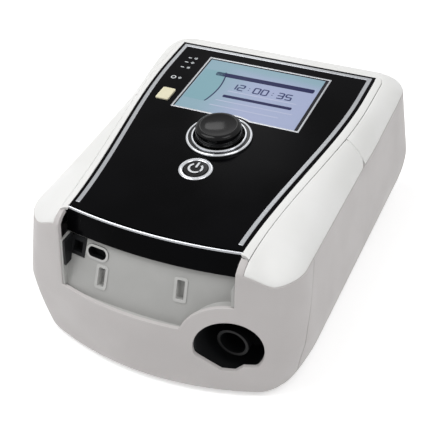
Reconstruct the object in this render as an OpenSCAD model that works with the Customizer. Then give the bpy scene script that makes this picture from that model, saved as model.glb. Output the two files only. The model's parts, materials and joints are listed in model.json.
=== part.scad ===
// Portable bedside ventilator: a low desk housing with a sloping black control panel,
// a docking bay in the front, a 22 mm breathing outlet and the blower and boards inside.
// Millimetres. +Z is up, the front faces -Y, and Z = 0 is the surface it stands on.

/* [Housing] */
// Width across the belt of the housing
belt_w = 210; // [196:1:226]
// Height of the belt, where the housing is widest
belt_z = 45; // [38:1:50]
// How far the sides draw in below the belt
base_tuck = 11.5; // [8:0.1:13]
// How much further the bottom edge draws in at the front corners
corner_tuck = 4; // [0:0.1:6]
// How far the front draws in below the belt
front_tuck = 1.5; // [0:0.5:4]
// Lean of the walls above the belt, in degrees
lean = 9; // [6:0.5:11]
// Length of the housing from front to rear
body_l = 275.5; // [264:0.5:290]
// Radius of the bowed front, seen from above
bow_r = 218.5; // [200:0.5:260]
// Corner radius at the front of the housing
corner_front = 15; // [8:1:24]
// Corner radius at the rear of the housing
corner_rear = 22; // [14:1:30]
// Wall thickness of the plastic housing
wall = 2.6; // [2:0.1:3]
// Ground clearance under the base, filled by the feet
foot_h = 2.4; // [1.5:0.1:4]
// Radius of the rounded bottom edge
bottom_r = 4; // [2:0.5:6]

/* [Parting line] */
// Height of the parting line along the sides
parting_side = 93; // [88:0.5:96]
// Height of the parting line at the rear corners
parting_rear = 105; // [98:0.5:108]
// Height of the parting line at the front posts
parting_front = 102; // [97:0.5:104]

/* [Control panel] */
// Height of the rear edge of the control panel
panel_h = 116; // [112:0.5:122]
// Forward slope of the control panel, in degrees
tilt = 2; // [0:0.5:4]
// Distance from the rear edge of the panel to the rear of the housing
rear_overhang = 34.5; // [30:0.5:40]
// Width of the panel at its rear edge
panel_w_rear = 160; // [154:1:166]
// Width of the panel at its front edge
panel_w_front = 123; // [118:1:128]
// Depth of the ledge in front of the panel, at the middle
ledge_l = 25.1; // [21:0.1:29]
// Radius of the bowed front edge of the panel
lip_bow_r = 350; // [300:5:450]
// Thickness of the panel
panel_t = 3; // [2.4:0.1:4]
// Width of the bright strip let into the panel edge
rim_w = 3.1; // [2.5:0.1:5]
// Distance of the bright strip from the panel edge
rim_in = 2.3; // [1:0.1:3]
// Depth of the groove that holds the bright strip
rim_depth = 1.2; // [0.8:0.1:1.6]
// Width of the seat ring that carries the panel
seat_w = 6; // [4:0.5:8]

/* [Side covers] */
// Length of the grey jamb tops in front of the white strips
jamb_l = 9; // [6:0.5:12]
// Width of the gap behind each jamb top
jamb_gap = 1.2; // [0.6:0.1:1.6]
// Width of the strip of the top shell left between the panel and a side cover
cover_strip = 5.5; // [4:0.5:8]
// Rear end of the side covers, behind the middle
cover_rear = 27; // [15:1:40]
// Distance of a side cover from the edge of the bay at the front
cover_inset = 4.5; // [3:0.5:7]

/* [Front lip and docking bay] */
// Height of the black lip at the front of the panel
lip_h = 17; // [14:0.5:20]
// Forward lean of the lip over its height
lip_out = 4.2; // [2:0.1:6]
// Thickness of the lip
lip_t = 2.4; // [2:0.1:3]
// Width of the docking bay
bay_w = 125; // [118:1:128]
// Height of the ledge below the docking bay
ledge_z = 56.5; // [52:0.5:60]
// Slope of the rear wall of the bay, forward per unit of drop
bay_slope = 0.45; // [0.3:0.01:0.55]
// Wall thickness of the bay liner
liner_t = 2; // [1.6:0.1:2.6]
// Step from the ledge down to the bay floor
ledge_step = 2.4; // [1.5:0.1:4]
// Width of a hook slot in the bay wall
slot_w = 5.2; // [5:0.1:6]
// Height of a hook slot in the bay wall
slot_h = 13; // [10:0.5:14]
// Distance of the left hook slot from the middle
slot_left_x = -33; // [-36:0.5:-28]
// Distance of the right hook slot from the middle
slot_right_x = 24; // [20:0.5:26]
// Height of the middle of the left hook slot
slot_left_z = 69; // [67:0.5:71]
// Height of the middle of the right hook slot
slot_right_z = 76; // [74:0.5:78]
// Width of the long data socket
data_w = 14; // [12:0.5:15]
// Height of the data socket
data_h = 6.6; // [6:0.2:8]
// Side of the square power socket
power_socket_w = 7.6; // [6.5:0.1:8]

/* [Breathing outlet] */
// Distance of the outlet from the middle of the housing
outlet_x = 59.5; // [56:0.5:61]
// Height of the outlet axis
outlet_z = 43.7; // [42:0.1:46]
// Diameter of the recess around the outlet
outlet_d = 44.6; // [42:0.2:48]
// Outer diameter of the conical 22 mm connector
port_d = 22; // [21:0.1:23]
// Bore of the connector
port_bore = 17.6; // [15:0.1:18.5]
// Length of the free end of the connector
port_l = 22; // [18:0.5:24]
// Distance of the connector face behind the housing front
port_setback = 8; // [6:0.5:12]
// Radius of the raised hood over the outlet
hood_r = 33.7; // [31:0.1:35]

/* [Display] */
// Width of the display frame
disp_w = 100.3; // [94:0.1:104]
// Length of the display frame
disp_l = 70.7; // [66:0.1:74]
// Distance of the display middle behind the panel's rear edge
disp_v = 49.5; // [46:0.5:54]
// Width of the bright frame round the display
frame_w = 1.5; // [1:0.1:2.5]
// Height of the frame above the panel
frame_up = 0.4; // [0.2:0.1:1]
// Width of the ledge that carries the display window
window_ledge = 2; // [1.5:0.1:3]
// Black land between the knob ring and the display
knob_land = 2.6; // [1:0.1:4]

/* [Controls] */
// Distance of the knob from the panel's rear edge
knob_v = 107.8; // [105:0.1:111]
// Diameter of the knob
knob_d = 33; // [28:0.5:35]
// Height of the knob above the panel
knob_h = 11; // [9:0.5:14]
// Travel of the knob when it is pressed
knob_travel = 0.8; // [0.5:0.1:1]
// Outer diameter of the bright ring round the knob
ring_d = 47; // [44:0.5:50]
// Height of the bright ring
ring_h = 2.6; // [1.5:0.1:4]
// Gap between knob and ring
ring_gap = 1.4; // [1:0.1:2]
// Diameter of the encoder shaft
shaft_d = 6; // [5:0.1:6.5]
// Distance of the start button from the panel's rear edge
start_v = 146; // [144:0.5:152]
// Outer diameter of the ring round the start button
start_ring_d = 23.5; // [21:0.1:25]
// Width of that ring
start_ring_w = 3; // [2:0.1:4]
// Height of the start button above the panel
start_up = 1; // [0.6:0.1:1.6]
// Travel of the start button and of the mute key
key_travel = 0.6; // [0.4:0.1:0.8]
// Width of the mute key
key_w = 10.5; // [9:0.1:12]
// Length of the mute key
key_l = 14.5; // [12:0.1:16]
// Distance of the mute key from the middle
key_x = 60.5; // [59:0.1:62]
// Distance of the mute key from the panel's rear edge
key_v = 72; // [69:0.5:75]
// Height of the mute key above the panel
key_up = 1; // [0.6:0.1:1.6]
// Diameter of a status light
lens_d = 2.8; // [2:0.1:3.4]
// Distance of the status lights from the middle
lens_x = 60; // [58:0.1:62]

/* [Blower] */
// Distance of the blower from the middle of the housing
blower_x = 27; // [25:0.5:29]
// Position of the blower along the housing
blower_y = 32; // [28:0.5:36]
// Height of the bottom of the blower
blower_z = 15; // [14:0.5:17]
// Outer diameter of the blower housing
blower_d = 84; // [80:0.5:88]
// Height of the blower housing
blower_h = 44; // [40:0.5:46]
// Wall thickness of the blower housing
blower_wall = 2; // [1.6:0.1:2.6]
// Diameter of the impeller
impeller_d = 66; // [58:0.5:70]
// Height of the impeller blades
blade_h = 9; // [7:0.5:11]
// Number of impeller blades
blades = 11; // [7:1:13]
// Diameter of the motor shaft
motor_shaft_d = 4; // [3:0.1:5]
// Diameter of the stator
stator_d = 36; // [32:0.5:40]
// Height of the stator
stator_h = 9; // [7:0.5:10]

/* [Air intake] */
// Distance of the filter door from the middle
door_x = -45; // [-48:1:-42]
// Width of the filter door
door_w = 60; // [54:1:64]
// Height of the filter door
door_h = 40; // [36:1:42]
// Height of the middle of the filter door
door_z = 45; // [44:0.5:47]
// Thickness of the filter door
door_t = 2.4; // [2:0.1:3]
// Number of air slots in the filter door
door_slots = 7; // [4:1:8]
// Depth of the filter chamber
chamber_l = 16; // [14:0.5:20]
// Diameter of the hinge pin of the filter door
pin_d = 2; // [1.6:0.1:2.4]

/* [Mains inlet] */
// Distance of the mains inlet from the middle
inlet_x = 52; // [46:0.5:58]
// Height of the mains inlet
inlet_z = 40; // [38:0.5:44]
// Width of the mains inlet flange
inlet_w = 30.5; // [29:0.5:33]
// Height of the mains inlet flange
inlet_h = 23.5; // [22.5:0.5:26]

/* [Feet and screws] */
// Diameter of a rubber foot
foot_d = 15; // [12:0.5:18]
// Distance of the feet from the middle
foot_x = 72; // [66:1:76]
// Position of the front feet, forward of the middle
foot_front = 88; // [80:1:92]
// Position of the rear feet, behind the middle
foot_rear = 96; // [88:1:102]
// Shank diameter of the housing screws
screw_d = 3; // [2.5:0.1:3.5]

/* [Fits] */
// Gap between trim pieces that lie side by side
trim_gap = 0.2; // [0.15:0.05:0.3]
// Clearance round a moving key
key_gap = 0.35; // [0.3:0.05:0.5]
// Running clearance of a shaft in its bore
run_gap = 0.05; // [0.03:0.01:0.1]
// Seating gap between stacked parts
seat_gap = 0.2; // [0.1:0.05:0.3]

/* [Hidden] */
$fn = 64;

white = "#f1f1ee";
shell_grey = "#d3ccc9";
bay_grey = "#a6a8a6";
black = "#17171a";
silver = "#c9ccd0";

// bow centre, panel origin and the z level of the base floor
yc = -body_l / 2 + bow_r;
panel_y = body_l / 2 - rear_overhang;
panel_l = (body_l - rear_overhang - ledge_l) / cos(tilt);
floor_z = foot_h;
lip_yc = panel_y - panel_l * cos(tilt) + lip_bow_r;

function smooth(a, b, v) = let(t = min(1, max(0, (v - a) / (b - a)))) t * t * (3 - 2 * t);
function tuck(z, t) = z < belt_z ? t * pow((belt_z - z) / belt_z, 2) : tan(lean) * (z - belt_z);
function bow_at(z) = bow_r - tuck(z, front_tuck);
function half_w(y, z) = belt_w / 2 - tuck(z, base_tuck) * (z < belt_z ? 1 : 1 - 0.45 * smooth(20, 100, y))
    - corner_tuck * smooth(75, 110, -y) * max(0, 1 - z / belt_z);
function rear_y(z) = body_l / 2 - tuck(z, base_tuck * 1.3);
function edge_in(z) = let(h = z - floor_z)
    h < bottom_r ? bottom_r - sqrt(max(0, bottom_r * bottom_r - pow(bottom_r - h, 2))) : 0;
// signed distance to two walls that meet in a rounded corner
function two(a, b, r) = min(max(a + r, b + r), 0) + norm([max(a + r, 0), max(b + r, 0)]) - r;
function body_sd(x, y, z, w) =
    let(e = edge_in(z) + w, a = abs(x) - half_w(y, z) + e)
    y < 0 ? two(a, norm([x, y - yc]) - bow_at(z) + e, max(corner_front - w, 1))
          : two(a, y - rear_y(z) + e, max(corner_rear - w, 1));
// height of the parting line in direction a, measured from the front
function parting(a) = let(c = -cos(a))
    c > 0 ? parting_side + (parting_rear - parting_side) * smooth(0.35, 0.85, c)
          : parting_side + (parting_front - parting_side) * smooth(0.79, 0.885, -c);
function panel_half(v) = panel_w_rear / 2 - (panel_w_rear - panel_w_front) / 2 * smooth(30, panel_l - 1, v);
function panel_sd(x, y, w) =
    let(v = (panel_y - y) / cos(tilt), a = abs(x) - panel_half(v) + w)
    y < 0 ? two(a, norm([x, y - lip_yc]) - lip_bow_r + w, 2)
          : two(a, y - panel_y + w, 4);
function panel_z(y) = panel_h - (panel_y - y) * tan(tilt);
// distance from the middle to the housing wall and to the panel edge, found by halving
function wall_r(a, z, w, lo = 0, hi = 280, n = 20) = n == 0 ? (lo + hi) / 2 :
    let(m = (lo + hi) / 2)
    body_sd(m * sin(a), -m * cos(a), z, w) > 0 ? wall_r(a, z, w, lo, m, n - 1) : wall_r(a, z, w, m, hi, n - 1);
function edge_r(a, w, lo = 0, hi = 280, n = 20) = n == 0 ? (lo + hi) / 2 :
    let(m = (lo + hi) / 2)
    panel_sd(m * sin(a), -m * cos(a), w) > 0 ? edge_r(a, w, lo, m, n - 1) : edge_r(a, w, m, hi, n - 1);

// directions of the loft, closer together at the corners
half_angles = [0, 7, 14, 20, 25, 28, 30, 32.5, 35, 37, 39, 41, 43, 45, 48, 52, 57, 63, 70, 78, 86, 94, 102,
    110, 118, 125, 130, 134, 137, 139.5, 142, 144.5, 148, 153, 160, 167, 173.5];
angles = concat(half_angles, [180], [for (i = [len(half_angles) - 1:-1:1]) 360 - half_angles[i]]);
levels = [0, 0.011, 0.03, 0.1, 0.2, 0.32, 0.46, 0.62, 0.8, 1];
function level_z(f, a, w) = floor_z + w + f * (parting(a) - floor_z - w);
function wall_ring(f, w) = [for (a = angles)
    let(z = level_z(f, a, w), r = wall_r(a, z - (f == 0 ? w : 0), w)) [r * sin(a), -r * cos(a), z]];
function bezier(a, b, c, t) = a * (1 - t) * (1 - t) + 2 * b * t * (1 - t) + c * t * t;
function shoulder_ring(t, w) = [for (a = angles)
    let(z = parting(a), r = wall_r(a, z, w), p = edge_r(a, w * 0.3), q = 0.62 * r + 0.38 * p,
        pz = panel_z(-p * cos(a)))
    bezier([r * sin(a), -r * cos(a), z - w * 0.5],
        [q * sin(a), -q * cos(a), z - w + 0.86 * (pz - z)],
        [p * sin(a), -p * cos(a), pz - w], t)];
function body_rings(w) = concat([for (f = levels) wall_ring(f, w)],
    [for (t = [0.17, 0.34, 0.51, 0.67, 0.84, 1]) shoulder_ring(t, w)]);

// closes a stack of rings with a fan at the bottom and at the top
module stack(rs, bottom, top) {
    n = len(rs[0]);
    m = len(rs);
    polyhedron(concat([for (r = rs) each r], [bottom, top]), concat(
        [for (k = [0:m - 2], i = [0:n - 1]) let(j = (i + 1) % n) [k * n + i, (k + 1) * n + i, (k + 1) * n + j]],
        [for (k = [0:m - 2], i = [0:n - 1]) let(j = (i + 1) % n) [k * n + i, (k + 1) * n + j, k * n + j]],
        [for (i = [0:n - 1]) let(j = (i + 1) % n) [i, j, m * n]],
        [for (i = [0:n - 1]) let(j = (i + 1) % n) [(m - 1) * n + j, (m - 1) * n + i, m * n + 1]]));
}
module body_solid(w) {
    rs = body_rings(w);
    stack(rs, [0, 0, rs[0][0][2]], [0, 0, panel_z(0) - w]);
}
// everything below the parting line, as a fan that meets the wall a little above the ring of the loft
// and between its directions
parting_lift = 0.35;
fan_angles = [for (i = [0:len(angles) - 1]) (angles[i] + (i + 1 < len(angles) ? angles[i + 1] : 360)) / 2];
function parting_out(a) = parting_lift + parting_side
    + (parting(a) - parting_side) * 200 / wall_r(a, parting(a), 0);
module below_parting() {
    stack([[for (a = fan_angles) [200 * sin(a), -200 * cos(a), -20]],
        [for (a = fan_angles) [200 * sin(a), -200 * cos(a), parting_out(a)]]],
        [0, 0, -20], [0, 0, parting_side + parting_lift]);
}
// the base: everything below the parting line and the two jamb tops beside the bay, ended at y
module lower_part(y) {
    below_parting();
    for (s = [-1, 1]) translate([s * (bay_half + cover_front_in - 2) / 2 - (cover_front_in - bay_half + 2) / 2, -160, 60])
        cube([cover_front_in - bay_half + 2, 160 + y, 60]);
}
// places children on the control panel: x across, y up the slope, z out of it
module on_panel() translate([0, panel_y, panel_h]) rotate([tilt, 0, 0]) children();
module at_panel(x, v, z = 0) on_panel() translate([x, -v, z]) children();
// outline of the panel, drawn in by w at the sides and rear and by f at the front
function panel_side(w, f) = let(e = panel_l - 8 - max(f, 0))
    [for (i = [0:24]) let(v = w + (e - w) * i / 24) [panel_half(v) - w, -v]];
module panel_outline(w = 0, f = 0) {
    r = lip_bow_r - f;
    s = panel_side(w, f);
    xe = panel_w_front / 2 - w;
    front = [for (i = [0:12]) let(x = xe * (1 - i / 6)) [x, -panel_l + lip_bow_r - sqrt(r * r - x * x)]];
    polygon(concat(s, front, [for (i = [len(s) - 1:-1:0]) [-s[i][0], s[i][1]]]));
}
// rounded rectangle of plain arcs and squares
module plate2(w, l, r) {
    square([w - 2 * r, l], center = true);
    square([w, l - 2 * r], center = true);
    for (x = [-1, 1], y = [-1, 1]) translate([x * (w / 2 - r), y * (l / 2 - r)]) circle(r, $fn = 32);
}
module tube(h, d, bore) difference() {
    cylinder(h = h, d = d);
    translate([0, 0, -1]) cylinder(h = h + 2, d = bore);
}
// turns an upright shape to lie along -Y, with its base at y = 0
module lie() rotate([90, 0, 0]) children();
// exact cone that follows the bowed front, drawn in by w
module front_cone(w) translate([0, yc, -1]) {
    cylinder(h = belt_z + 1, r1 = bow_r - front_tuck - w, r2 = bow_r - w, $fn = 180);
    translate([0, 0, belt_z + 1]) cylinder(h = 80, r1 = bow_r - w, r2 = bow_r - w - 80 * tan(lean), $fn = 180);
}

// bay geometry
bay_floor = ledge_z - ledge_step;
bay_top = panel_z(lip_yc - lip_bow_r) - panel_t - 2.6;
lip_low = panel_z(lip_yc - lip_bow_r) - lip_h;
bay_tilt = atan(bay_slope);
bay_half = bay_w / 2;
function bay_r(z) = lip_bow_r + lip_out - lip_t - 1 + (lip_low - z) * bay_slope;
module on_bay(x, z) translate([0, lip_yc, 0]) rotate([0, 0, asin(x / bay_r(z))]) translate([0, -bay_r(z), z])
    rotate([90 - bay_tilt, 0, 0]) children();
// open profile of the bay seen from the front, grown by g
module bay_profile(g = 0) difference() {
    translate([-bay_half - g, ledge_z - g]) square([bay_w + 2 * g, 90]);
    translate([outlet_x, outlet_z]) circle(r = hood_r - g, $fn = 96);
}
// opening in the front wall round the outlet, with its sloping lower sides
module outlet_window(d) {
    r = d / 2;
    intersection() {
        circle(d = d, $fn = 72);
        polygon([[-r - 5, r + 5], [r + 5, r + 5], [r + 5, -0.62 * r], [0.42 * r, -0.62 * r], [0.18 * r, -0.84 * r],
            [-0.2 * r, -0.84 * r], [-r, -0.26 * r], [-r - 5, 0]]);
    }
}
// plan of a side cover, on the +X side, grown by g
cover_front_in = bay_half + cover_inset;
cover_y = ledge_l - body_l / 2 + 9.4;
jamb_y = yc - sqrt(bow_r * bow_r - cover_front_in * cover_front_in) + jamb_l + 9;
module cover_plan(g) offset(delta = g) offset(r = 8, $fn = 32) offset(delta = -8)
    polygon(concat([for (y = [cover_rear:-8:cover_y]) [panel_half((panel_y - y) / cos(tilt)) + cover_strip, y]],
        [[cover_front_in, cover_y - 5], [cover_front_in, -160], [belt_w / 2 + 6, -160], [belt_w / 2 - 6.4, -100],
        [belt_w / 2 - 6.4, cover_rear]]));
module cover_prism(g, side) mirror([side < 0 ? 1 : 0, 0, 0]) translate([0, 0, 70]) linear_extrude(60) cover_plan(g);
module skin(a, b) difference() {
    body_solid(a);
    body_solid(b);
}

// screw posts that tie the two halves together
post_at = [[belt_w / 2 - 21, -84], [21 - belt_w / 2, -84], [belt_w / 2 - 21, 98], [21 - belt_w / 2, 98]];
post_d = 3 * screw_d;
post_top = parting_side - 5;
head_z = post_top - 18;
bite = 5;
foot_at = [[foot_x, -foot_front], [-foot_x, -foot_front], [foot_x, foot_rear], [-foot_x, foot_rear]];

// intake at the rear
door_y = body_l / 2 - 3.6;
hinge_y = door_y - door_t / 2 - 0.8;
hinge_z = door_z - door_h / 2 + door_t / 2 + 1.2;
barrel_r = door_t / 2 + 0.8;
frame_t = 2.6;
frame_back = door_y - door_t - chamber_l - 3;
inlet_y = body_l / 2 - 0.4;

// boards
main_z = floor_z + wall + 5;
board_t = 1.6;
main_x = [-76, 40];
main_y = [-104, -22];
power_x = [2, 76];
power_y = [80, 112];
main_posts = [[main_x[0] + 4, main_y[0] + 4], [main_x[1] - 4, main_y[0] + 4], [main_x[0] + 4, main_y[1] - 4],
    [main_x[1] - 4, main_y[1] - 4]];
power_posts = [[power_x[0] + 4, power_y[0] + 4], [power_x[1] - 4, power_y[0] + 4], [power_x[0] + 4, power_y[1] - 4],
    [power_x[1] - 4, power_y[1] - 4]];
mount_at = [for (a = [30, 150, 270]) [blower_x + (blower_d / 2 - 9) * cos(a), blower_y + (blower_d / 2 - 9) * sin(a)]];
mount_d = 10;

module base_shell() color(shell_grey) resize([0, 0, 0]) difference() {
    union() {
        intersection() {
            skin(0, wall);
            lower_part(jamb_y);
        }
        intersection() {
            union() {
                for (p = post_at) translate([p[0], p[1], floor_z]) {
                    cylinder(h = post_top - floor_z, d = post_d, $fn = 32);
                    translate([p[0] > 0 ? 3 : -33, -1, 0]) cube([30, 2, post_top - floor_z - 12]);
                }
                for (p = concat(main_posts, power_posts)) translate([p[0], p[1], floor_z])
                    cylinder(h = main_z - floor_z, d = 6, $fn = 24);
                for (p = mount_at) translate([p[0], p[1], floor_z]) cylinder(h = wall + 3, d = mount_d + 4, $fn = 32);
                // pad behind the mains inlet
                translate([inlet_x - inlet_w / 2 - 3, inlet_y - 8, inlet_z - inlet_h / 2 - 3])
                    cube([inlet_w + 6, 12, inlet_h + 6]);
            }
            body_solid(0.2);
        }
    }
    // docking bay and outlet
    translate([0, -100, 0]) lie() linear_extrude(60) bay_profile();
    translate([outlet_x, -100, outlet_z]) lie() linear_extrude(60) outlet_window(outlet_d);
    // rear openings
    translate([door_x, 160, door_z]) lie() linear_extrude(50)
        square([door_w + 2 * frame_t + 2 * trim_gap, door_h + 2 * frame_t + 2 * trim_gap], center = true);
    translate([inlet_x, inlet_y - 2.2, inlet_z]) rotate([-90, 0, 0]) linear_extrude(20)
        plate2(inlet_w + 2 * trim_gap, inlet_h + 2 * trim_gap, 3);
    translate([inlet_x, inlet_y + 5, inlet_z]) lie() linear_extrude(30)
        plate2(inlet_w - 3 + 2 * trim_gap, inlet_h - 3 + 2 * trim_gap, 2);
    // screw wells, foot seats and mount seats
    for (p = post_at) translate([p[0], p[1], -1]) {
        cylinder(h = head_z + 1, d = 2.1 * screw_d, $fn = 32);
        cylinder(h = post_top + 2, d = screw_d + 0.4, $fn = 24);
    }
    for (p = foot_at) translate([p[0], p[1], -1]) cylinder(h = floor_z + 2.2, d = foot_d + 2 * trim_gap, $fn = 48);
    for (p = mount_at) translate([p[0], p[1], floor_z + wall]) cylinder(h = 9, d = mount_d + 2 * trim_gap, $fn = 32);
}

module top_shell() color(white) resize([0, 0, 0]) difference() {
    union() {
        skin(0, wall);
        // thicker under each side cover
        for (s = [1, -1]) intersection() {
            skin(wall - 0.6, wall + 1.8);
            cover_prism(3, s);
        }
        // seat of the panel
        intersection() {
            on_panel() translate([0, 0, -panel_t - 2.5]) linear_extrude(4.3) panel_outline(-2, 10.5);
            body_solid(0.3);
        }
        for (p = post_at) intersection() {
            translate([p[0], p[1], post_top + seat_gap]) cylinder(h = 40, d = post_d - 1, $fn = 32);
            body_solid(wall - 0.3);
        }
    }
    for (s = [1, -1]) difference() {
        cover_prism(trim_gap, s);
        body_solid(wall + 0.05);
    }
    difference() {
        lower_part(jamb_y + jamb_gap);
        for (p = post_at) translate([p[0], p[1], post_top + 0.02]) cylinder(h = 40, d = post_d, $fn = 32);
    }
    on_panel() translate([0, 0, -panel_t]) linear_extrude(30) panel_outline(-trim_gap, -30);
    on_panel() translate([0, 0, -40]) linear_extrude(50) panel_outline(seat_w, 10.5 + seat_w);
    translate([-bay_half, -170, 60]) cube([bay_w, 170 + lip_yc - lip_bow_r + 10, 60]);
    for (p = post_at) translate([p[0], p[1], post_top - 1]) cylinder(h = bite + 1.4, d = screw_d + 2 * run_gap, $fn = 32);
}
module side_cover(s) color(white) resize([0, 0, 0]) difference() {
    intersection() {
        skin(0, wall);
        cover_prism(0, s);
    }
    below_parting();
}
module side_cover_left() side_cover(-1);
module side_cover_right() side_cover(1);

module rim_plan(g) difference() {
    panel_outline(rim_in - g, 0);
    panel_outline(rim_in + rim_w + g, -40);
    translate([-100, -panel_l - 10]) square([200, 22 - g]);
}
knob_r = knob_d / 2;
ring_in = knob_r + ring_gap;
start_in = start_ring_d / 2 - start_ring_w;
board_top = -panel_t - 9.4;
panel_posts = [[66, 14], [-66, 14], [59, 116], [-59, 116], [46, panel_l - 29], [-46, panel_l - 29]];
light_v = [20, 26.5, 34, 49];
// outline of the display drawn in by w, with a round bite for the land of the knob ring
module disp_plan(w) difference() {
    translate([0, -disp_v]) square([disp_w - 2 * w, disp_l - 2 * w], center = true);
    translate([0, -knob_v]) circle(r = ring_d / 2 + knob_land + w, $fn = 96);
}
module control_panel() color(black) on_panel() {
    difference() {
        translate([0, 0, -panel_t]) linear_extrude(panel_t) panel_outline(0, lip_t + trim_gap);
        translate([0, 0, -rim_depth]) linear_extrude(5) rim_plan(trim_gap / 2);
        translate([0, 0, -1.5]) linear_extrude(5) disp_plan(-trim_gap / 2);
        translate([0, 0, -10]) linear_extrude(20) disp_plan(frame_w + window_ledge);
        translate([0, -knob_v, -1]) tube(5, ring_d + trim_gap, 2 * ring_in - trim_gap);
        translate([0, -knob_v, -10]) cylinder(h = 20, d = shaft_d + 3);
        translate([0, -start_v, -1]) tube(5, start_ring_d + trim_gap, 2 * start_in - 1);
        translate([0, -start_v, -10]) cylinder(h = 20, r = start_in);
        translate([-key_x, -key_v, -10]) linear_extrude(20)
            plate2(key_w + 2 * key_gap, key_l + 2 * key_gap, 1.5);
        for (v = light_v) translate([-lens_x, -v, -10]) cylinder(h = 20, d = lens_d + trim_gap / 2);
    }
    for (p = panel_posts) translate([p[0], -p[1], board_top]) difference() {
        cylinder(h = -board_top - panel_t, d = 6);
        translate([0, 0, -1]) cylinder(h = 7, d = 2);
    }
}
module panel_rim() color(silver) on_panel() translate([0, 0, -rim_depth]) linear_extrude(rim_depth + 0.3)
    rim_plan(0);
module front_lip() color(black) {
    on_panel() intersection() {
        translate([0, -panel_l + lip_bow_r, 0]) rotate_extrude($fn = 180) polygon([
            [lip_bow_r - 9.8, -panel_t - 2.4], [lip_bow_r - 9.8, -panel_t], [lip_bow_r - lip_t, -panel_t],
            [lip_bow_r - lip_t, 0], [lip_bow_r - 1, 0], [lip_bow_r, -1], [lip_bow_r + lip_out, -lip_h],
            [lip_bow_r + lip_out - lip_t, -lip_h - 0.4], [lip_bow_r - lip_t, -panel_t - 2.4]]);
        translate([-bay_half + seat_gap, -panel_l - 20, -40]) cube([bay_w - 2 * seat_gap, 60, 60]);
    }
}
module bay_wall(a, b) translate([0, lip_yc, 0]) rotate_extrude($fn = 180) polygon([
    [bay_r(bay_top) + a, bay_top], [bay_r(bay_top) + b, bay_top], [bay_r(bay_floor - 8) + b, bay_floor - 8],
    [bay_r(bay_floor - 8) + a, bay_floor - 8]]);
module dock_liner() color(bay_grey) difference() {
    union() {
        intersection() {
            bay_wall(-liner_t, 0);
            translate([0, -60, 0]) lie() linear_extrude(100) bay_floor_plan(0, 100);
        }
        intersection() {
            translate([0, -60, 0]) lie() linear_extrude(100) bay_floor_plan(0, liner_t);
            front_cone(wall + seat_gap);
            bay_front();
        }
        for (s = [-1, 1]) intersection() {
            translate([s > 0 ? bay_half - liner_t - trim_gap : -bay_half + trim_gap, -150, 0])
                cube([liner_t, 150, lip_low - 0.9]);
            translate([0, -60, 0]) lie() linear_extrude(100) bay_floor_plan(0, 100);
            union() {
                front_cone(wall + seat_gap);
                intersection() {
                    front_cone(0.6);
                    translate([0, -60, 0]) lie() linear_extrude(100) bay_profile(-seat_gap);
                }
            }
            bay_front();
        }
    }
    for (x = [slot_left_x, slot_right_x]) on_bay(x, x < 0 ? slot_left_z : slot_right_z) translate([0, 0, -5])
        linear_extrude(10) plate2(slot_w + 2.4 + 2 * trim_gap, slot_h + 2.4 + 2 * trim_gap, 1.5);
    on_bay(data_x, data_z) translate([0, 0, -5]) linear_extrude(10) obround(data_w + 2.4, data_h + 2.4, trim_gap);
    on_bay(power_x2, power_z2) translate([0, 0, -5]) linear_extrude(10)
        square([power_socket_w + 2.4 + 2 * trim_gap, power_socket_w + 2.4 + 2 * trim_gap], center = true);
}
data_x = 24.5 - bay_half;
data_z = 83;
power_x2 = 8.9 - bay_half;
power_z2 = 82.5;
// everything in front of the rear face of the bay wall
module bay_front() difference() {
    translate([-100, -160, 0]) cube([200, 90, 130]);
    translate([0, lip_yc, bay_floor - 8]) cylinder(h = bay_top - bay_floor + 8.01, r1 = bay_r(bay_floor - 8) - liner_t,
        r2 = bay_r(bay_top) - liner_t, $fn = 180);
}
// floor of the bay seen from the front: level, then arched over the outlet, t thick
module bay_floor_plan(g, t) {
    x1 = -bay_half + trim_gap;
    x2 = bay_half - trim_gap;
    intersection() {
        translate([x1, 0]) square([x2 - x1, bay_top]);
        difference() {
            union() {
                translate([x1 - 5, bay_floor - liner_t]) square([bay_w + 10, t]);
                translate([outlet_x, outlet_z]) circle(r = t > liner_t ? 80 : hood_r - ledge_step, $fn = 96);
            }
            translate([x1 - 5, -100]) square([bay_w + 10, 100 + bay_floor - liner_t]);
            translate([outlet_x, outlet_z]) circle(r = hood_r - ledge_step - liner_t, $fn = 96);
        }
    }
}
module obround(w, h, g = 0) {
    square([w - h, h + 2 * g], center = true);
    for (s = [-1, 1]) translate([s * (w - h) / 2, 0]) circle(d = h + 2 * g, $fn = 40);
}
module hook_slots() color("#c4c6c5") for (x = [slot_left_x, slot_right_x])
    on_bay(x, x < 0 ? slot_left_z : slot_right_z) difference() {
        union() {
            translate([0, 0, -7]) linear_extrude(7) plate2(slot_w + 2.4, slot_h + 2.4, 1.4);
            linear_extrude(0.5) plate2(slot_w + 4, slot_h + 4, 2);
        }
        translate([0, 0, -5.8]) linear_extrude(10) plate2(slot_w, slot_h, 0.8);
    }
module dock_data_socket() color(black) on_bay(data_x, data_z) {
    difference() {
        union() {
            translate([0, 0, -8]) linear_extrude(8) obround(data_w + 2.4, data_h + 2.4);
            linear_extrude(0.5) obround(data_w + 4, data_h + 4);
        }
        translate([0, 0, -6.8]) linear_extrude(10) obround(data_w, data_h);
    }
}
module dock_power_socket() color("#2c2d30") {
    power_socket();
    bay_cheek();
}
module power_socket() on_bay(power_x2, power_z2) {
    difference() {
        union() {
            translate([0, 0, -8]) linear_extrude(8) square(power_socket_w + 2.4, center = true);
            translate([0, 0.6, 0]) linear_extrude(0.5) square([power_socket_w + 5, power_socket_w + 6.2], center = true);
        }
        translate([0, 0, -6.8]) linear_extrude(10) square(power_socket_w, center = true);
    }
}
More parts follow.
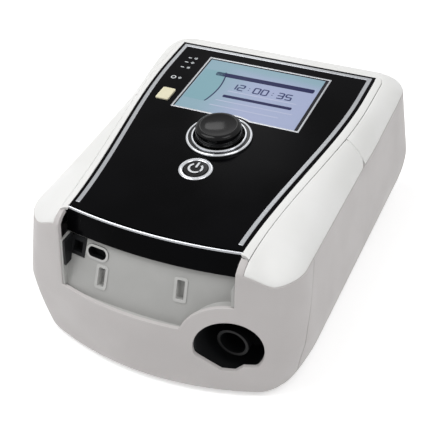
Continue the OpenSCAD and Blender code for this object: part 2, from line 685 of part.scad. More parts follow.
// dark cheek on the left wall of the bay, joined to the plate round the square socket
module bay_cheek() difference() {
    intersection() {
        translate([-(bay_half - liner_t - 3 * trim_gap), -150, cheek_z])
            cube([1.6, 150 + lip_yc - lip_bow_r + 2, lip_low - cheek_z - 0.9]);
        front_cone(1);
    }
    translate([0, lip_yc, bay_floor - 8]) cylinder(h = bay_top - bay_floor + 8.01, r1 = bay_r(bay_floor - 8) + 0.3,
        r2 = bay_r(bay_top) + 0.3, $fn = 180);
}
cheek_z = lip_low - 19;

// breathing outlet
front_y = yc - sqrt(bow_r * bow_r - outlet_x * outlet_x);
port_y = front_y + port_setback;
cup_y = port_y + port_l;
cup_t = 2;
cup_wall = 1.6;
neck_d = port_d - 1;
module outlet_cup() color(black) difference() {
    intersection() {
        translate([outlet_x, cup_y + cup_t, outlet_z]) lie() cylinder(h = 60, d = outlet_d + 2 * cup_wall);
        front_cone(wall + 2 * seat_gap);
    }
    translate([outlet_x, cup_y, outlet_z]) lie() cylinder(h = 60, d = outlet_d - 0.4);
    translate([outlet_x, cup_y + 10, outlet_z]) lie() cylinder(h = 20, d = neck_d + 2 * trim_gap);
}
module outlet_port() color(black) difference() {
    translate([outlet_x, cup_y, outlet_z]) {
        lie() cylinder(h = port_l, d = port_d);
        rotate([-90, 0, 0]) cylinder(h = cup_t + 13, d = port_d - 2);
        rotate([-90, 0, 0]) translate([0, 0, cup_t + 1.2]) cylinder(h = 2, d = port_d + 10);
        rotate([-90, 0, 0]) cylinder(h = cup_t + 3, d = neck_d);
    }
    translate([outlet_x, cup_y + 20, outlet_z]) lie() cylinder(h = 60, d = port_bore);
}
module outlet_seal() color("#3a3d42") translate([outlet_x, cup_y + cup_t, outlet_z]) rotate([-90, 0, 0])
    tube(1.2, port_d + 8, neck_d + 2 * trim_gap);

// display and boards under the panel
module display_frame() color(silver) at_panel(0, 0, -1.5) difference() {
    linear_extrude(1.5 + frame_up) disp_plan(0);
    translate([0, 0, -1]) linear_extrude(5) disp_plan(frame_w);
}
module display_window() color("#9fb0d8") at_panel(0, 0, -1.5) linear_extrude(1.4)
    disp_plan(frame_w + trim_gap / 2);
module lcd_module() color("#8a8f96") at_panel(0, disp_v, board_top) linear_extrude(-board_top - panel_t - 0.1)
    square([disp_w - 2, disp_l - 2], center = true);
module panel_board() color("#2f6b46") on_panel() translate([0, 0, board_top - board_t]) linear_extrude(board_t)
    difference() {
        panel_outline(8.5, 22);
        for (p = panel_posts) translate([p[0], -p[1]]) circle(d = 2.7);
    }
module panel_screws() color(silver) for (p = panel_posts) at_panel(p[0], p[1], board_top - board_t) {
    translate([0, 0, -1.8]) cylinder(h = 1.8, d = 4.6);
    cylinder(h = 7, d = 1.9);
}
module knob_cap() color("#1c1c20") at_panel(0, knob_v) difference() {
    union() {
        rotate_extrude() polygon([[0, 1.2], [knob_r - 0.4, 1.2], [knob_r, 1.6], [knob_r - 0.3, knob_h - 2.2],
            [knob_r - 1, knob_h - 0.9], [knob_r - 2.2, knob_h - 0.2], [knob_r - 3.4, knob_h], [knob_r - 5, knob_h - 0.3],
            [0, knob_h - 0.9]]);
    }
    translate([0, 0, -1]) tube(knob_h - 2.2, knob_d - 3, shaft_d + 5);
    translate([0, 0, -1]) cylinder(h = knob_h - 1.6, d = shaft_d + 0.02);
}
module encoder_shaft() color(silver) at_panel(0, knob_v, board_top + 3.2)
    cylinder(h = knob_h - 2.8 - board_top - 3.2, d = shaft_d);
module encoder_plunger() color("#d8d4c8") at_panel(0, knob_v, board_top + 1.8) cylinder(h = 1.3, d = shaft_d);
module encoder_body() color("#4a4d52") at_panel(0, knob_v, board_top) difference() {
    translate([-7, -7, 0]) cube([14, 14, -board_top - panel_t - 1.6]);
    translate([0, 0, 0.8]) cylinder(h = 20, d = shaft_d + 2 * run_gap);
}
module knob_ring() color(silver) at_panel(0, knob_v, -1) rotate_extrude() polygon([
    [ring_in, 0], [ring_in, ring_h + 0.2], [ring_in + 0.8, ring_h + 1], [ring_in + 1.8, ring_h + 0.8],
    [ring_in + 2.6, ring_h - 0.3], [ring_d / 2 - 1.6, ring_h - 0.3], [ring_d / 2 - 0.5, ring_h - 0.8],
    [ring_d / 2, ring_h - 1.8], [ring_d / 2, 0]]);
start_r = start_in - key_gap;
module start_button() color("#1c1c20") at_panel(0, start_v) {
    translate([0, 0, -panel_t - 0.4]) cylinder(h = panel_t + start_up, r = start_r);
    translate([0, 0, -panel_t - 1.6]) cylinder(h = 1.3, r = start_in + 0.9);
    translate([0, 0, board_top + 4]) cylinder(h = -board_top - panel_t - 5, d = 4);
}
module start_ring() color(silver) at_panel(0, start_v, -1) tube(1.6, start_ring_d, 2 * start_in);
module start_switch() color("#4a4d52") at_panel(0, start_v, board_top) {
    translate([-4, -4, 0]) cube([8, 8, 2.4]);
    cylinder(h = 4 - key_travel - 0.2, d = 3.4);
}
module mute_key() color("#efe9cf") at_panel(-key_x, key_v) {
    translate([0, 0, -panel_t - 0.4]) linear_extrude(panel_t + 0.4 + key_up) plate2(key_w, key_l, 1.2);
    translate([0, 0, -panel_t - 1.6]) linear_extrude(1.3) plate2(key_w + 3, key_l + 3, 2);
    translate([0, 0, board_top + 4]) cylinder(h = -board_top - panel_t - 5, d = 4);
}
module mute_switch() color("#4a4d52") at_panel(-key_x, key_v, board_top) {
    translate([-3.5, -3.5, 0]) cube([7, 7, 2.4]);
    cylinder(h = 4 - key_travel - 0.2, d = 3.4);
}
module status_lights() color("#e8ecef") for (v = light_v) at_panel(-lens_x, v) {
    translate([0, 0, -panel_t]) cylinder(h = panel_t + 0.1, d = lens_d);
    translate([0, 0, -panel_t - 1.2]) cylinder(h = 1.2, d = lens_d + 1.6);
    translate([0, 0, board_top]) cylinder(h = -board_top - panel_t - 1, d = lens_d - 0.6);
}

// filtered air intake in the rear wall
module intake_frame() color("#5b5f63") {
    difference() {
        translate([door_x - door_w / 2 - frame_t, 0, 0]) rotate([90, 0, 90])
            linear_extrude(door_w + 2 * frame_t) polygon([[frame_back, low_z], [rear_y(low_z), low_z],
                [body_l / 2, belt_z], [rear_y(high_z), high_z], [frame_back, high_z]]);
        // recess for the door
        translate([door_x - door_w / 2 - door_gap, frame_back + frame_t, door_z - door_h / 2 - door_gap])
            cube([door_w + 2 * door_gap, 60, door_h + 2 * door_gap]);
        // passage to the muffler
        translate([door_x - neck_w / 2, frame_back - 5, door_z - neck_h / 2]) cube([neck_w, 20, neck_h]);
        for (s = [-1, 1]) translate([door_x + s * door_w / 2, hinge_y, hinge_z]) rotate([0, 90, 0])
            cylinder(h = 5, d = pin_d + 0.02, center = true);
    }
    // stops that carry the filter
    for (s = [-1, 1]) translate([door_x + s * (door_w / 2 + door_gap) - (s > 0 ? 1.4 : 0), frame_back + frame_t,
        door_z - door_h / 2 - door_gap]) cube([1.4, 1.4, door_h + 2 * door_gap]);
    // neck towards the muffler
    difference() {
        translate([door_x - neck_w / 2 - 1.6, muffler_y[1] - 1.2, door_z - neck_h / 2 - 1.6])
            cube([neck_w + 3.2, frame_back - muffler_y[1] + 1.3, neck_h + 3.2]);
        translate([door_x - neck_w / 2, muffler_y[1] - 5, door_z - neck_h / 2])
            cube([neck_w, frame_back - muffler_y[1] + 10, neck_h]);
    }
}
low_z = door_z - door_h / 2 - frame_t;
high_z = door_z + door_h / 2 + frame_t;
door_gap = 0.5;
neck_w = 46;
neck_h = 24;
barrel_w = door_w - 10;
module filter_door() color("#6a6e72") {
    difference() {
        translate([door_x - door_w / 2, door_y - door_t, hinge_z])
            cube([door_w, door_t, door_z + door_h / 2 - hinge_z]);
        for (i = [0:door_slots - 1]) translate([door_x - door_w / 2 + 5, door_y - 10,
            hinge_z + 5.5 + i * (door_h - 12) / door_slots]) cube([door_w - 10, 20, (door_h - 12) / door_slots - 1.8]);
        translate([door_x, hinge_y, hinge_z]) rotate([0, 90, 0])
            cylinder(h = door_w + 10, d = pin_d + 2 * run_gap, center = true);
        for (s = [-1, 1]) translate([door_x + s * (door_w / 2 - 2) - 3.3, door_y - 10, hinge_z - 1])
            cube([6.6, 20, barrel_r + 1.6]);
    }
    translate([door_x, hinge_y, hinge_z]) rotate([0, 90, 0]) difference() {
        cylinder(h = barrel_w, r = barrel_r, center = true);
        cylinder(h = barrel_w + 10, d = pin_d + 2 * run_gap, center = true);
    }
    // thumb grip at the free edge and ribs across the slots
    translate([door_x - 9, door_y - 0.05, door_z + door_h / 2 - 4]) cube([18, 1.6, 2]);
    for (x = [-door_w / 6, door_w / 6]) translate([door_x + x - 0.9, door_y - door_t, hinge_z + 4])
        cube([1.8, door_t, door_h - 10]);
}
module door_pin() color(silver) translate([door_x, hinge_y, hinge_z]) rotate([0, 90, 0])
    cylinder(h = door_w + 4, d = pin_d, center = true);
module air_filter() color("#e9e6dc") translate([door_x, frame_back + frame_t + 1.4, door_z]) rotate([-90, 0, 0])
    difference() {
        linear_extrude(chamber_l - 3) square([door_w - 1, door_h - 1], center = true);
        for (i = [-5:5]) translate([i * (door_w - 8) / 11 - 1.2, -door_h / 2 + 3, chamber_l - 5]) cube([2.4, door_h - 6, 5]);
    }
module mains_inlet() color(black) translate([inlet_x, 0, inlet_z]) difference() {
    union() {
        translate([0, inlet_y - 2, 0]) rotate([-90, 0, 0]) linear_extrude(2) plate2(inlet_w, inlet_h, 3);
        translate([0, inlet_y - 1, 0]) lie() linear_extrude(19.6) plate2(inlet_w - 3, inlet_h - 3, 2);
    }
    translate([0, inlet_y + 1, 0]) lie() linear_extrude(18) intersection() {
        plate2(inlet_w - 6.2, inlet_h - 6.6, 1.5);
        polygon([[-cx, -cz], [cx, -cz], [cx, cz - 5], [cx - 5, cz], [5 - cx, cz], [-cx, cz - 5]]);
    }
    for (p = pin_at) translate([p[0] - 1.01, inlet_y - 30, p[1] - 2.01]) cube([2.02, 30, 4.02]);
}
pin_at = [[-7, -2.5], [7, -2.5], [0, 2]];
cx = (inlet_w - 6.2) / 2;
cz = (inlet_h - 6.6) / 2;
module inlet_pins() color(silver) for (p = pin_at) translate([inlet_x + p[0], inlet_y, inlet_z + p[1]]) {
    translate([-1, -25, -2]) cube([2, 22, 4]);
    translate([-0.4, -29, -2]) cube([0.8, 5, 4]);
}

// boards
module screwed(x, y, posts) difference() {
    translate([x[0], y[0], main_z]) cube([x[1] - x[0], y[1] - y[0], board_t]);
    for (p = posts) translate([p[0], p[1], main_z - 1]) cylinder(h = 5, d = 3.2, $fn = 32);
}
module power_board() color("#8a6b33") screwed(power_x, power_y, power_posts);
module main_board() color("#24583b") screwed(main_x, main_y, main_posts);
top_z = main_z + board_t;
module power_parts() color("#3b3f45") {
    x0 = power_x[0];
    y0 = power_y[0];
    translate([x0 + 29, y0 + 3, top_z]) cube([22, 19, 15]);
    translate([x0 + 54, y0 + 3, top_z]) cube([12, 15, 9]);
    for (x = [12, 22]) translate([x0 + x, y0 + 9, top_z]) cylinder(h = x == 12 ? 22 : 13, d = x == 12 ? 12.5 : 8);
    translate([x0 + 12, y0 + 18, top_z]) cube([15, 6, 14]);
    translate([x0 + 30, y0 + 24, top_z]) cube([26, 4, 8]);
    for (i = [0:5]) translate([x0 + 12 + i * 2.4, y0 + 26, top_z]) cube([1, 5, 14]);
    translate([x0 + 12, y0 + 23.9, top_z]) cube([13, 2.2, 14]);
}
module board_parts() color("#202226") {
    x0 = main_x[0];
    y0 = main_y[0];
    translate([x0 + 14, y0 + 22, top_z]) cube([18, 18, 1.6]);
    translate([x0 + 15, y0 + 50, top_z]) cube([12, 20, 1.2]);
    translate([x0 + 38, y0 + 25, top_z]) cube([10, 14, 1.2]);
    for (i = [0:3]) translate([x0 + 66 + i * 9, y0 + 12, top_z]) cylinder(h = 7.5, d = 6.3);
    for (i = [0:2]) translate([x0 + 84, y0 + 28 + i * 13, top_z]) cube([9, 10, 2.3]);
    // ribbon socket, blower plug, sensor plug and docking plugs
    translate([ribbon_x - 13, ribbon_y - 2.6, top_z]) cube([26, 5.2, 6]);
    translate([x0 + 96, y0 + 66, top_z]) cube([14, 6, 7]);
    translate([x0 + 12, y0 + 4, top_z]) cube([24, 6, 7]);
    // pressure sensor with its port
    translate([tube_x - 5, tube_y - 5, top_z]) cube([10, 10, 5]);
    translate([tube_x, tube_y, top_z + 4]) cylinder(h = 6, d = 2.4);
    // small parts in rows
    for (i = [0:7], j = [0:2]) translate([x0 + 36 + i * 5, y0 + 62 + j * 4, top_z]) cube([2.4, 1.4, 0.9]);
}
tube_x = 26;
tube_y = -64;
ribbon_x = -24;
ribbon_y = -44;
module buzzer() color("#2b2d31") translate([main_x[0] + 46, main_y[0] + 10, top_z]) difference() {
    cylinder(h = 9, d = 14);
    translate([0, 0, 6]) cylinder(h = 9, d = 3);
}
// flat cable between the panel board and the main board
ribbon_top = panel_z(ribbon_y) + (board_top - board_t) / cos(tilt) - 0.9;
module ribbon_cable() color("#b9bcc0") translate([ribbon_x - 11, 0, 0]) rotate([90, 0, 90]) linear_extrude(22)
    polygon([[ribbon_y - 0.5, top_z + 6.2], [ribbon_y + 0.5, top_z + 6.2], [ribbon_y + 0.5, top_z + 18],
        [ribbon_y + 6.5, top_z + 32], [ribbon_y + 6.5, ribbon_top - 26], [ribbon_y + 0.5, ribbon_top - 12],
        [ribbon_y + 0.5, ribbon_top], [ribbon_y - 0.5, ribbon_top], [ribbon_y - 0.5, ribbon_top - 12.3],
        [ribbon_y + 5.5, ribbon_top - 26.3], [ribbon_y + 5.5, top_z + 32.3], [ribbon_y - 0.5, top_z + 18.3]]);

// blower
r_b = blower_d / 2;
deck_z = blower_z + stator_h + 9;
wheel_z = outlet_z - blade_h / 2 - 1.6;
hose_d = 18;
tube_end = -24;
module at_blower(z) translate([blower_x, blower_y, z]) children();
module blower_base() color("#55595e") difference() {
    union() {
        at_blower(blower_z) tube(deck_z - blower_z, 2 * r_b, 2 * (r_b - blower_wall));
        at_blower(blower_z) cylinder(h = 2, r = r_b);
        at_blower(deck_z - 2) cylinder(h = 2, r = r_b);
        at_blower(blower_z + 1) tube(7, stator_d + 4.4, stator_d + 2 * trim_gap);
        at_blower(blower_z + 1) tube(4, stator_d + 4.4, stator_d - 5);
        at_blower(blower_z + 1) cylinder(h = 4, r = 7.4);
        at_blower(deck_z - 3.6) cylinder(h = 3.6, r = 7.4);
    }
    at_blower(blower_z + 2) cylinder(h = 3.01, r = 5 + run_gap);
    at_blower(deck_z - 3) cylinder(h = 5, r = 5 + run_gap);
    at_blower(deck_z - 10) cylinder(h = 12, r = 3.6);
    for (p = mount_at) translate([p[0], p[1], blower_z - 1]) cylinder(h = 5, d = 5.4);
}
module blower_cover() color("#66696e") difference() {
    union() {
        at_blower(deck_z) cylinder(h = blower_z + blower_h - deck_z, r = r_b);
        at_blower(blower_z + blower_h - 1) cylinder(h = 5, r = 16);
        translate([outlet_x, blower_y, outlet_z]) lie() cylinder(h = blower_y - tube_end, d = hose_d);
        at_blower(deck_z - 3) tube(5, 2 * r_b + 3.2, 2 * r_b + 0.1);
    }
    at_blower(deck_z - 1) cylinder(h = blower_z + blower_h - deck_z - blower_wall + 1, r = r_b - blower_wall);
    at_blower(blower_z) cylinder(h = 80, r = 13);
    translate([outlet_x, blower_y, outlet_z]) lie() cylinder(h = blower_y - tube_end + 1, d = hose_d - 3);
}
module impeller() color("#d9dbde") difference() {
    union() {
        at_blower(wheel_z) cylinder(h = 1.6, d = impeller_d);
        at_blower(wheel_z + blade_h + 0.6) tube(1.2, impeller_d, 27);
        at_blower(wheel_z - 1) cylinder(h = 7, d = 12);
        for (i = [0:blades - 1]) at_blower(wheel_z + 1) rotate([0, 0, i * 360 / blades])
            translate([14.5, 0, 0]) rotate([0, 0, -38]) cube([impeller_d / 2 - 11.2, 1, blade_h]);
    }
    at_blower(wheel_z - 5) cylinder(h = 20, d = motor_shaft_d + 0.02);
    difference() {
        at_blower(wheel_z - 2) cylinder(h = 30, d = impeller_d + 20);
        at_blower(wheel_z - 3) cylinder(h = 32, d = impeller_d);
    }
}
module motor_shaft() color(silver) at_blower(blower_z + 2.2) cylinder(h = wheel_z + 7 - blower_z - 2.2, d = motor_shaft_d);
magnet_z = blower_z + 5.6;
module rotor_magnet() color("#4a4e55") at_blower(magnet_z) tube(stator_h - 0.4, 17, motor_shaft_d + 0.02);
module stator() color("#a55b32") at_blower(blower_z + 5) difference() {
    tube(stator_h, stator_d, 18.4);
    for (i = [0:5]) rotate([0, 0, i * 60 + 30]) translate([11, -1.6, -1]) cube([4.4, 3.2, stator_h + 2]);
}
module motor_bearings() color(silver) for (z = [blower_z + 2, deck_z - 3])
    at_blower(z) tube(3, 10, motor_shaft_d + 2 * run_gap);
module blower_mounts() color("#3a3d42") for (p = mount_at) translate([p[0], p[1], floor_z + wall]) {
    cylinder(h = blower_z - floor_z - wall, d = mount_d);
    cylinder(h = blower_z - floor_z - wall + 2, d = 5);
    translate([0, 0, blower_z - floor_z - wall + 2]) cylinder(h = 1.4, d1 = 6.4, d2 = 4.4);
}

// muffler
muffler_x = [-88, -20];
muffler_y = [-10, 88];
muffler_top = blower_z + blower_h + 2;
muffler_low = floor_z + wall + seat_gap;
module muffler_box() color("#7b7f83") difference() {
    translate([muffler_x[0], muffler_y[0], muffler_low])
        cube([muffler_x[1] - muffler_x[0], muffler_y[1] - muffler_y[0], muffler_top - muffler_low]);
    translate([muffler_x[0] + 2, muffler_y[0] + 2, muffler_low + 2])
        cube([muffler_x[1] - muffler_x[0] - 4, muffler_y[1] - muffler_y[0] - 4, muffler_top]);
    translate([door_x - neck_w / 2 - 1.6 - trim_gap, muffler_y[1] - 5, door_z - neck_h / 2 - 1.6 - trim_gap])
        cube([neck_w + 3.2 + 2 * trim_gap, 10, neck_h + 3.2 + 2 * trim_gap]);
}
module muffler_foam() color("#3f4246") difference() {
    translate([muffler_x[0] + 2.3, muffler_y[0] + 2.3, muffler_low + 2.1])
        cube([muffler_x[1] - muffler_x[0] - 4.6, muffler_y[1] - muffler_y[0] - 4.6, muffler_top - muffler_low - 2.4]);
    translate([muffler_x[0] + 12, muffler_y[1] - 28, muffler_low + 16]) cube([44, 40, 32]);
    translate([muffler_x[0] + 12, muffler_y[0] + 12, muffler_low + 16]) cube([14, 60, 28]);
    translate([muffler_x[0] + 12, muffler_y[0] + 12, muffler_low + 16]) cube([44, 14, 28]);
    translate([muffler_x[1] - 32, muffler_y[0] + 12, muffler_low + 16]) cube([20, 44, 60]);
}
duct_z = muffler_top + seat_gap;
duct_x = [muffler_x[1] - 22, blower_x];
module duct_plan(w) {
    translate([duct_x[0], blower_y - w / 2]) square([duct_x[1] - duct_x[0], w]);
    for (x = duct_x) translate([x, blower_y]) circle(d = w);
}
module intake_duct() color("#85898d") difference() {
    union() {
        translate([muffler_x[0], muffler_y[0], duct_z])
            cube([muffler_x[1] - muffler_x[0], muffler_y[1] - muffler_y[0], 2]);
        translate([0, 0, duct_z + 1]) linear_extrude(17) duct_plan(36);
        at_blower(duct_z - 0.2) cylinder(h = 3, r = 18);
    }
    translate([0, 0, duct_z + 3.8]) linear_extrude(12.4) duct_plan(32.8);
    at_blower(duct_z - 5) cylinder(h = 10, r = 13);
    at_blower(duct_z - 5) cylinder(h = blower_z + blower_h + 4 + seat_gap - duct_z + 5, r = 16 + trim_gap);
    translate([duct_x[0], blower_y, duct_z - 5]) cylinder(h = 12, r = 13);
}

// breathing circuit inside the housing
sensor_y = [-30, -76];
sensor_d = hose_d + 5;
module outlet_duct() color("#c9cfd6") translate([outlet_x, tube_end + 8, outlet_z]) lie()
    tube(tube_end + 8 - sensor_y[0] + 8, hose_d + 3.2, hose_d + 2 * run_gap);
module flow_sensor() color("#dfe3e6") translate([outlet_x, sensor_y[0], outlet_z]) difference() {
    union() {
        lie() cylinder(h = sensor_y[0] - sensor_y[1], d = hose_d);
        translate([0, -13, 0]) lie() cylinder(h = 22, d = sensor_d);
        translate([-9, -33, hose_d / 2 - 1]) cube([18, 18, 7]);
        translate([nip_x - outlet_x, -24, 0]) rotate([0, 90, 0]) cylinder(h = 6, d = 3);
    }
    translate([0, 1, 0]) lie() cylinder(h = sensor_y[0] - sensor_y[1] + 2, d = hose_d - 3);
}
module port_hose() color("#c9cfd6") translate([outlet_x, sensor_y[1] + 7, outlet_z]) lie() difference() {
    cylinder(h = sensor_y[1] + 7 - cup_y - cup_t - 4.4, d = port_d + 2);
    translate([0, 0, -1]) cylinder(h = 60, d = hose_d + 2 * run_gap);
    translate([0, 0, sensor_y[1] + 7 - cup_y - cup_t - 13.4]) cylinder(h = 60, d = port_d - 2 + 2 * run_gap);
}
nip_x = outlet_x - hose_d / 2 - 5;
tube_start = outlet_x - sensor_d / 2 - seat_gap;
bend = 6;
module pressure_tube() color("#e4eef4") {
    translate([tube_start, sensor_y[0] - 24, outlet_z]) rotate([0, -90, 0]) tube(tube_start - tube_x - bend, 4.6, 3.1);
    translate([tube_x + bend, sensor_y[0] - 24, outlet_z - bend]) rotate([90, 0, 0]) intersection() {
        rotate_extrude() translate([bend, 0]) difference() {
            circle(d = 4.6, $fn = 32);
            circle(d = 3.1, $fn = 32);
        }
        translate([-20, 0, -10]) cube([20, 20, 20]);
    }
    translate([tube_x, sensor_y[0] - 24, top_z + 5]) tube(outlet_z - bend - top_z - 5, 4.6, 3.1);
}

// feet and screws
module rubber_feet() color("#2d2e31") for (p = foot_at) translate([p[0], p[1], 0]) {
    rotate_extrude() polygon([[0, 0.4], [2.5, 0.4], [3, 0], [foot_d / 2 - 1, 0], [foot_d / 2, 1],
        [foot_d / 2, floor_z + 1.1], [0, floor_z + 1.1]]);
}
module housing_screws() color(silver) for (p = post_at) translate([p[0], p[1], head_z]) {
    translate([0, 0, -2.2]) difference() {
        cylinder(h = 2.2, d = 1.8 * screw_d);
        translate([0, 0, -1]) cylinder(h = 2.2, d = 2, $fn = 6);
    }
    cylinder(h = post_top - head_z + bite, d = screw_d);
}

base_shell();
top_shell();
side_cover_left();
side_cover_right();
control_panel();
panel_rim();
front_lip();
dock_liner();
hook_slots();
dock_data_socket();
dock_power_socket();
outlet_cup();
outlet_port();
outlet_seal();
display_frame();
display_window();
lcd_module();
panel_board();
panel_screws();
knob_cap();
encoder_shaft();
encoder_plunger();
encoder_body();
knob_ring();
start_button();
start_ring();
start_switch();
mute_key();
mute_switch();
status_lights();
intake_frame();
filter_door();
door_pin();
air_filter();
mains_inlet();
inlet_pins();
power_board();
power_parts();
main_board();
board_parts();
buzzer();
blower_base();
blower_cover();
impeller();
motor_shaft();
rotor_magnet();
stator();
motor_bearings();
blower_mounts();
muffler_box();
muffler_foam();
intake_duct();
outlet_duct();
flow_sensor();
pressure_tube();
ribbon_cable();
port_hose();
rubber_feet();
housing_screws();
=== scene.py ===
"""Looks of a portable bedside ventilator: a low desk housing in pale grey, white side covers,
a gloss-black control panel with a backlit display and a knob, and a docking bay in the front.

Sizes in the classes are millimetres in the part's own frame: +X right, +Y rear, +Z up.
"""

import json
import logging
import math
from dataclasses import dataclass, field
from enum import Enum
from typing import Callable, Sequence

import bmesh
import bpy
import numpy as np
from mathutils import Matrix, Vector
from mathutils.geometry import delaunay_2d_cdt

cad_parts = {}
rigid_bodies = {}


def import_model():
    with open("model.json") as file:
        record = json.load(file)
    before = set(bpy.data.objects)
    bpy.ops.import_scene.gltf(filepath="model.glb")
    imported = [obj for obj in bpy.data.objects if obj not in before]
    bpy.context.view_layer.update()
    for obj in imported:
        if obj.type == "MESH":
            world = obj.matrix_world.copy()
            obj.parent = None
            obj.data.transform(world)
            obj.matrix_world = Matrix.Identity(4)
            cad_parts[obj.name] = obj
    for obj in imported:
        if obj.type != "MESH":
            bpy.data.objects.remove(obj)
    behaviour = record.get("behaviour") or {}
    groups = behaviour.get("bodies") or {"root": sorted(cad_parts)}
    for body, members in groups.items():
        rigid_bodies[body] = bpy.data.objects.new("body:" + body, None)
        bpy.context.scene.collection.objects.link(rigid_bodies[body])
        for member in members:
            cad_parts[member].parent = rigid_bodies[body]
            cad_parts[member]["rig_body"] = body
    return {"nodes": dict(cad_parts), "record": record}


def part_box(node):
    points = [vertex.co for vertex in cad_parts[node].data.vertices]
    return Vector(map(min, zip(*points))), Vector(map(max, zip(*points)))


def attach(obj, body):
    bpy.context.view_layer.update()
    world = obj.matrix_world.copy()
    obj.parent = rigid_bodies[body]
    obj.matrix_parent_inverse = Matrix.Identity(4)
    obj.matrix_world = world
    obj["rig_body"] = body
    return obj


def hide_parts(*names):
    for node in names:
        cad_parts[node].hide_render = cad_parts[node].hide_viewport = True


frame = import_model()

LOG = logging.getLogger("ventilator")
MM = 0.001
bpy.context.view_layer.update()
Surface = Callable[[np.ndarray], np.ndarray]
Solid = tuple[np.ndarray, list]

# Middle of the display, as a distance from the panel's rear edge
DISPLAY_V = 49.5
# Faces of the bay's data socket that look forward and lie ahead of this depth are its light frame
DATA_FRONT = -110.0
# How far below the panel's front end the front lip's painted highlight reaches: faces there get the chrome
# finish in place of the highlight on the lip's rounded edge
LIP_HIGHLIGHT = 1.6
# Solids that keep their shape and get rounded edges, with the width of the rounding
SOFT = (
    ("control_panel", 0.4), ("panel_rim", 0.35), ("dock_liner", 0.4), ("hook_slots", 0.3),
    ("dock_power_socket", 0.3), ("outlet_cup", 0.4), ("outlet_port", 0.4), ("display_frame", 0.3),
    ("mute_key", 0.8), ("start_button", 0.5), ("filter_door", 0.4), ("intake_frame", 0.4),
    ("mains_inlet", 0.4),
)


class Wall(Enum):
    """The two walls that have openings given by x and height."""

    FRONT = "front"
    REAR = "rear"


class Body(Enum):
    """The bodies of the frame, each with the name that the frame gives it."""

    HOUSING = "housing"
    PLUNGER = "plunger"
    KNOB = "knob"
    START_KEY = "start_key"
    MUTE_KEY = "mute_key_body"
    FILTER_DOOR = "filter_door_body"
    ROTOR = "rotor"


# Small tools

def linear(code: str) -> tuple[float, float, float, float]:
    """Turns an sRGB hex colour to linear RGBA.

    Args:
        code: Six hex digits after a hash.

    Returns:
        Linear red, green, blue and an alpha of 1.
    """
    values = [int(code[i:i + 2], 16) / 255 for i in (1, 3, 5)]
    out = [v / 12.92 if v <= 0.04045 else ((v + 0.055) / 1.055) ** 2.4 for v in values]
    return (out[0], out[1], out[2], 1.0)


def node(tree: bpy.types.NodeTree, kind: str, links: dict | None = None,
         **settings: object) -> bpy.types.Node:
    """Adds one node with its settings, its values and its links.

    Args:
        tree: The tree that gets the node.
        kind: Blender's name of the node type.
        links: Input name or index to a socket, which is linked, or to a value.
        **settings: Properties of the node.

    Returns:
        The new node.
    """
    made = tree.nodes.new(kind)
    for name, value in settings.items():
        setattr(made, name, value)
    for key, value in (links or {}).items():
        if isinstance(value, bpy.types.NodeSocket):
            tree.links.new(value, made.inputs[key])
        else:
            made.inputs[key].default_value = value
    return made


def part_origin() -> np.ndarray:
    """Finds where the part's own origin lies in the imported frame.

    Returns:
        The place in millimetres.
    """
    low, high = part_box("base_shell")
    middle = (np.array(low) + np.array(high)) / 2 / MM
    return np.array([middle[0], middle[1], low.z / MM - HousingForm.foot_h])


def make_object(name: str, points: np.ndarray, faces: Sequence, weld: float = 0.0) -> bpy.types.Object:
    """Makes a mesh object from millimetre points in the part's own frame.

    Args:
        name: Name of the piece.
        points: Points, n x 3.
        faces: Tuples of point numbers.
        weld: Distance in millimetres under which points are merged, or 0.

    Returns:
        The object, at the origin, shaded smooth up to 38 degrees.
    """
    mesh = bpy.data.meshes.new(name)
    placed = (np.asarray(points, float) + part_origin()) * MM
    mesh.from_pydata(placed.tolist(), [], [tuple(map(int, face)) for face in faces])
    if weld:
        work = bmesh.new()
        work.from_mesh(mesh)
        bmesh.ops.remove_doubles(work, verts=work.verts, dist=weld * MM)
        work.to_mesh(mesh)
        work.free()
    obj = bpy.data.objects.new(name, mesh)
    bpy.context.scene.collection.objects.link(obj)
    shade(obj)
    return obj


def shade(obj: bpy.types.Object, angle: float = 38.0) -> None:
    """Shades a mesh smooth, with edges over an angle in degrees kept sharp."""
    obj.data.shade_smooth()
    obj.data.set_sharp_from_angle(angle=math.radians(angle))


def baked(obj: bpy.types.Object) -> bpy.types.Object:
    """Turns an object's evaluated result into its plain mesh and removes its modifiers.

    Args:
        obj: The object, with its modifiers.

    Returns:
        The same object, with the plain mesh.
    """
    depsgraph = bpy.context.evaluated_depsgraph_get()
    mesh = bpy.data.meshes.new_from_object(obj.evaluated_get(depsgraph), preserve_all_data_layers=True,
                                           depsgraph=depsgraph)
    obj.modifiers.clear()
    mesh.name = obj.name
    obj.data = mesh
    return obj


def ring_points(x: float, z: float, radius: float, count: int) -> np.ndarray:
    """Draws a circle of points, anticlockwise."""
    a = np.arange(count) * 2 * math.pi / count
    return np.column_stack([x + radius * np.cos(a), z + radius * np.sin(a)])


def filled(points: Sequence, step: float) -> np.ndarray:
    """Adds points along a closed outline so that none are further apart than a step.

    Args:
        points: Corners of the outline, n x 2.
        step: Largest distance between two points.

    Returns:
        The denser outline.
    """
    out = []
    corners = np.asarray(points, float)
    for a, b in zip(corners, np.roll(corners, -1, axis=0)):
        count = max(1, math.ceil(np.linalg.norm(b - a) / step))
        out.append(a + (b - a) * np.arange(count)[:, None] / count)
    return np.vstack(out)


def inside(points: np.ndarray, loops: Sequence[np.ndarray]) -> np.ndarray:
    """Finds which points lie inside a set of closed outlines, by the even-odd rule.

    Args:
        points: Places, n x 2.
        loops: The outlines.

    Returns:
        True or false for each point.
    """
    hit = np.zeros(len(points), bool)
    for loop in loops:
        for (x0, y0), (x1, y1) in zip(loop, np.roll(loop, -1, axis=0)):
            if y0 == y1:
                continue
            crosses = (points[:, 1] >= min(y0, y1)) & (points[:, 1] < max(y0, y1))
            hit ^= crosses & (points[:, 0] < x0 + (points[:, 1] - y0) * (x1 - x0) / (y1 - y0))
    return hit


# The form of the housing

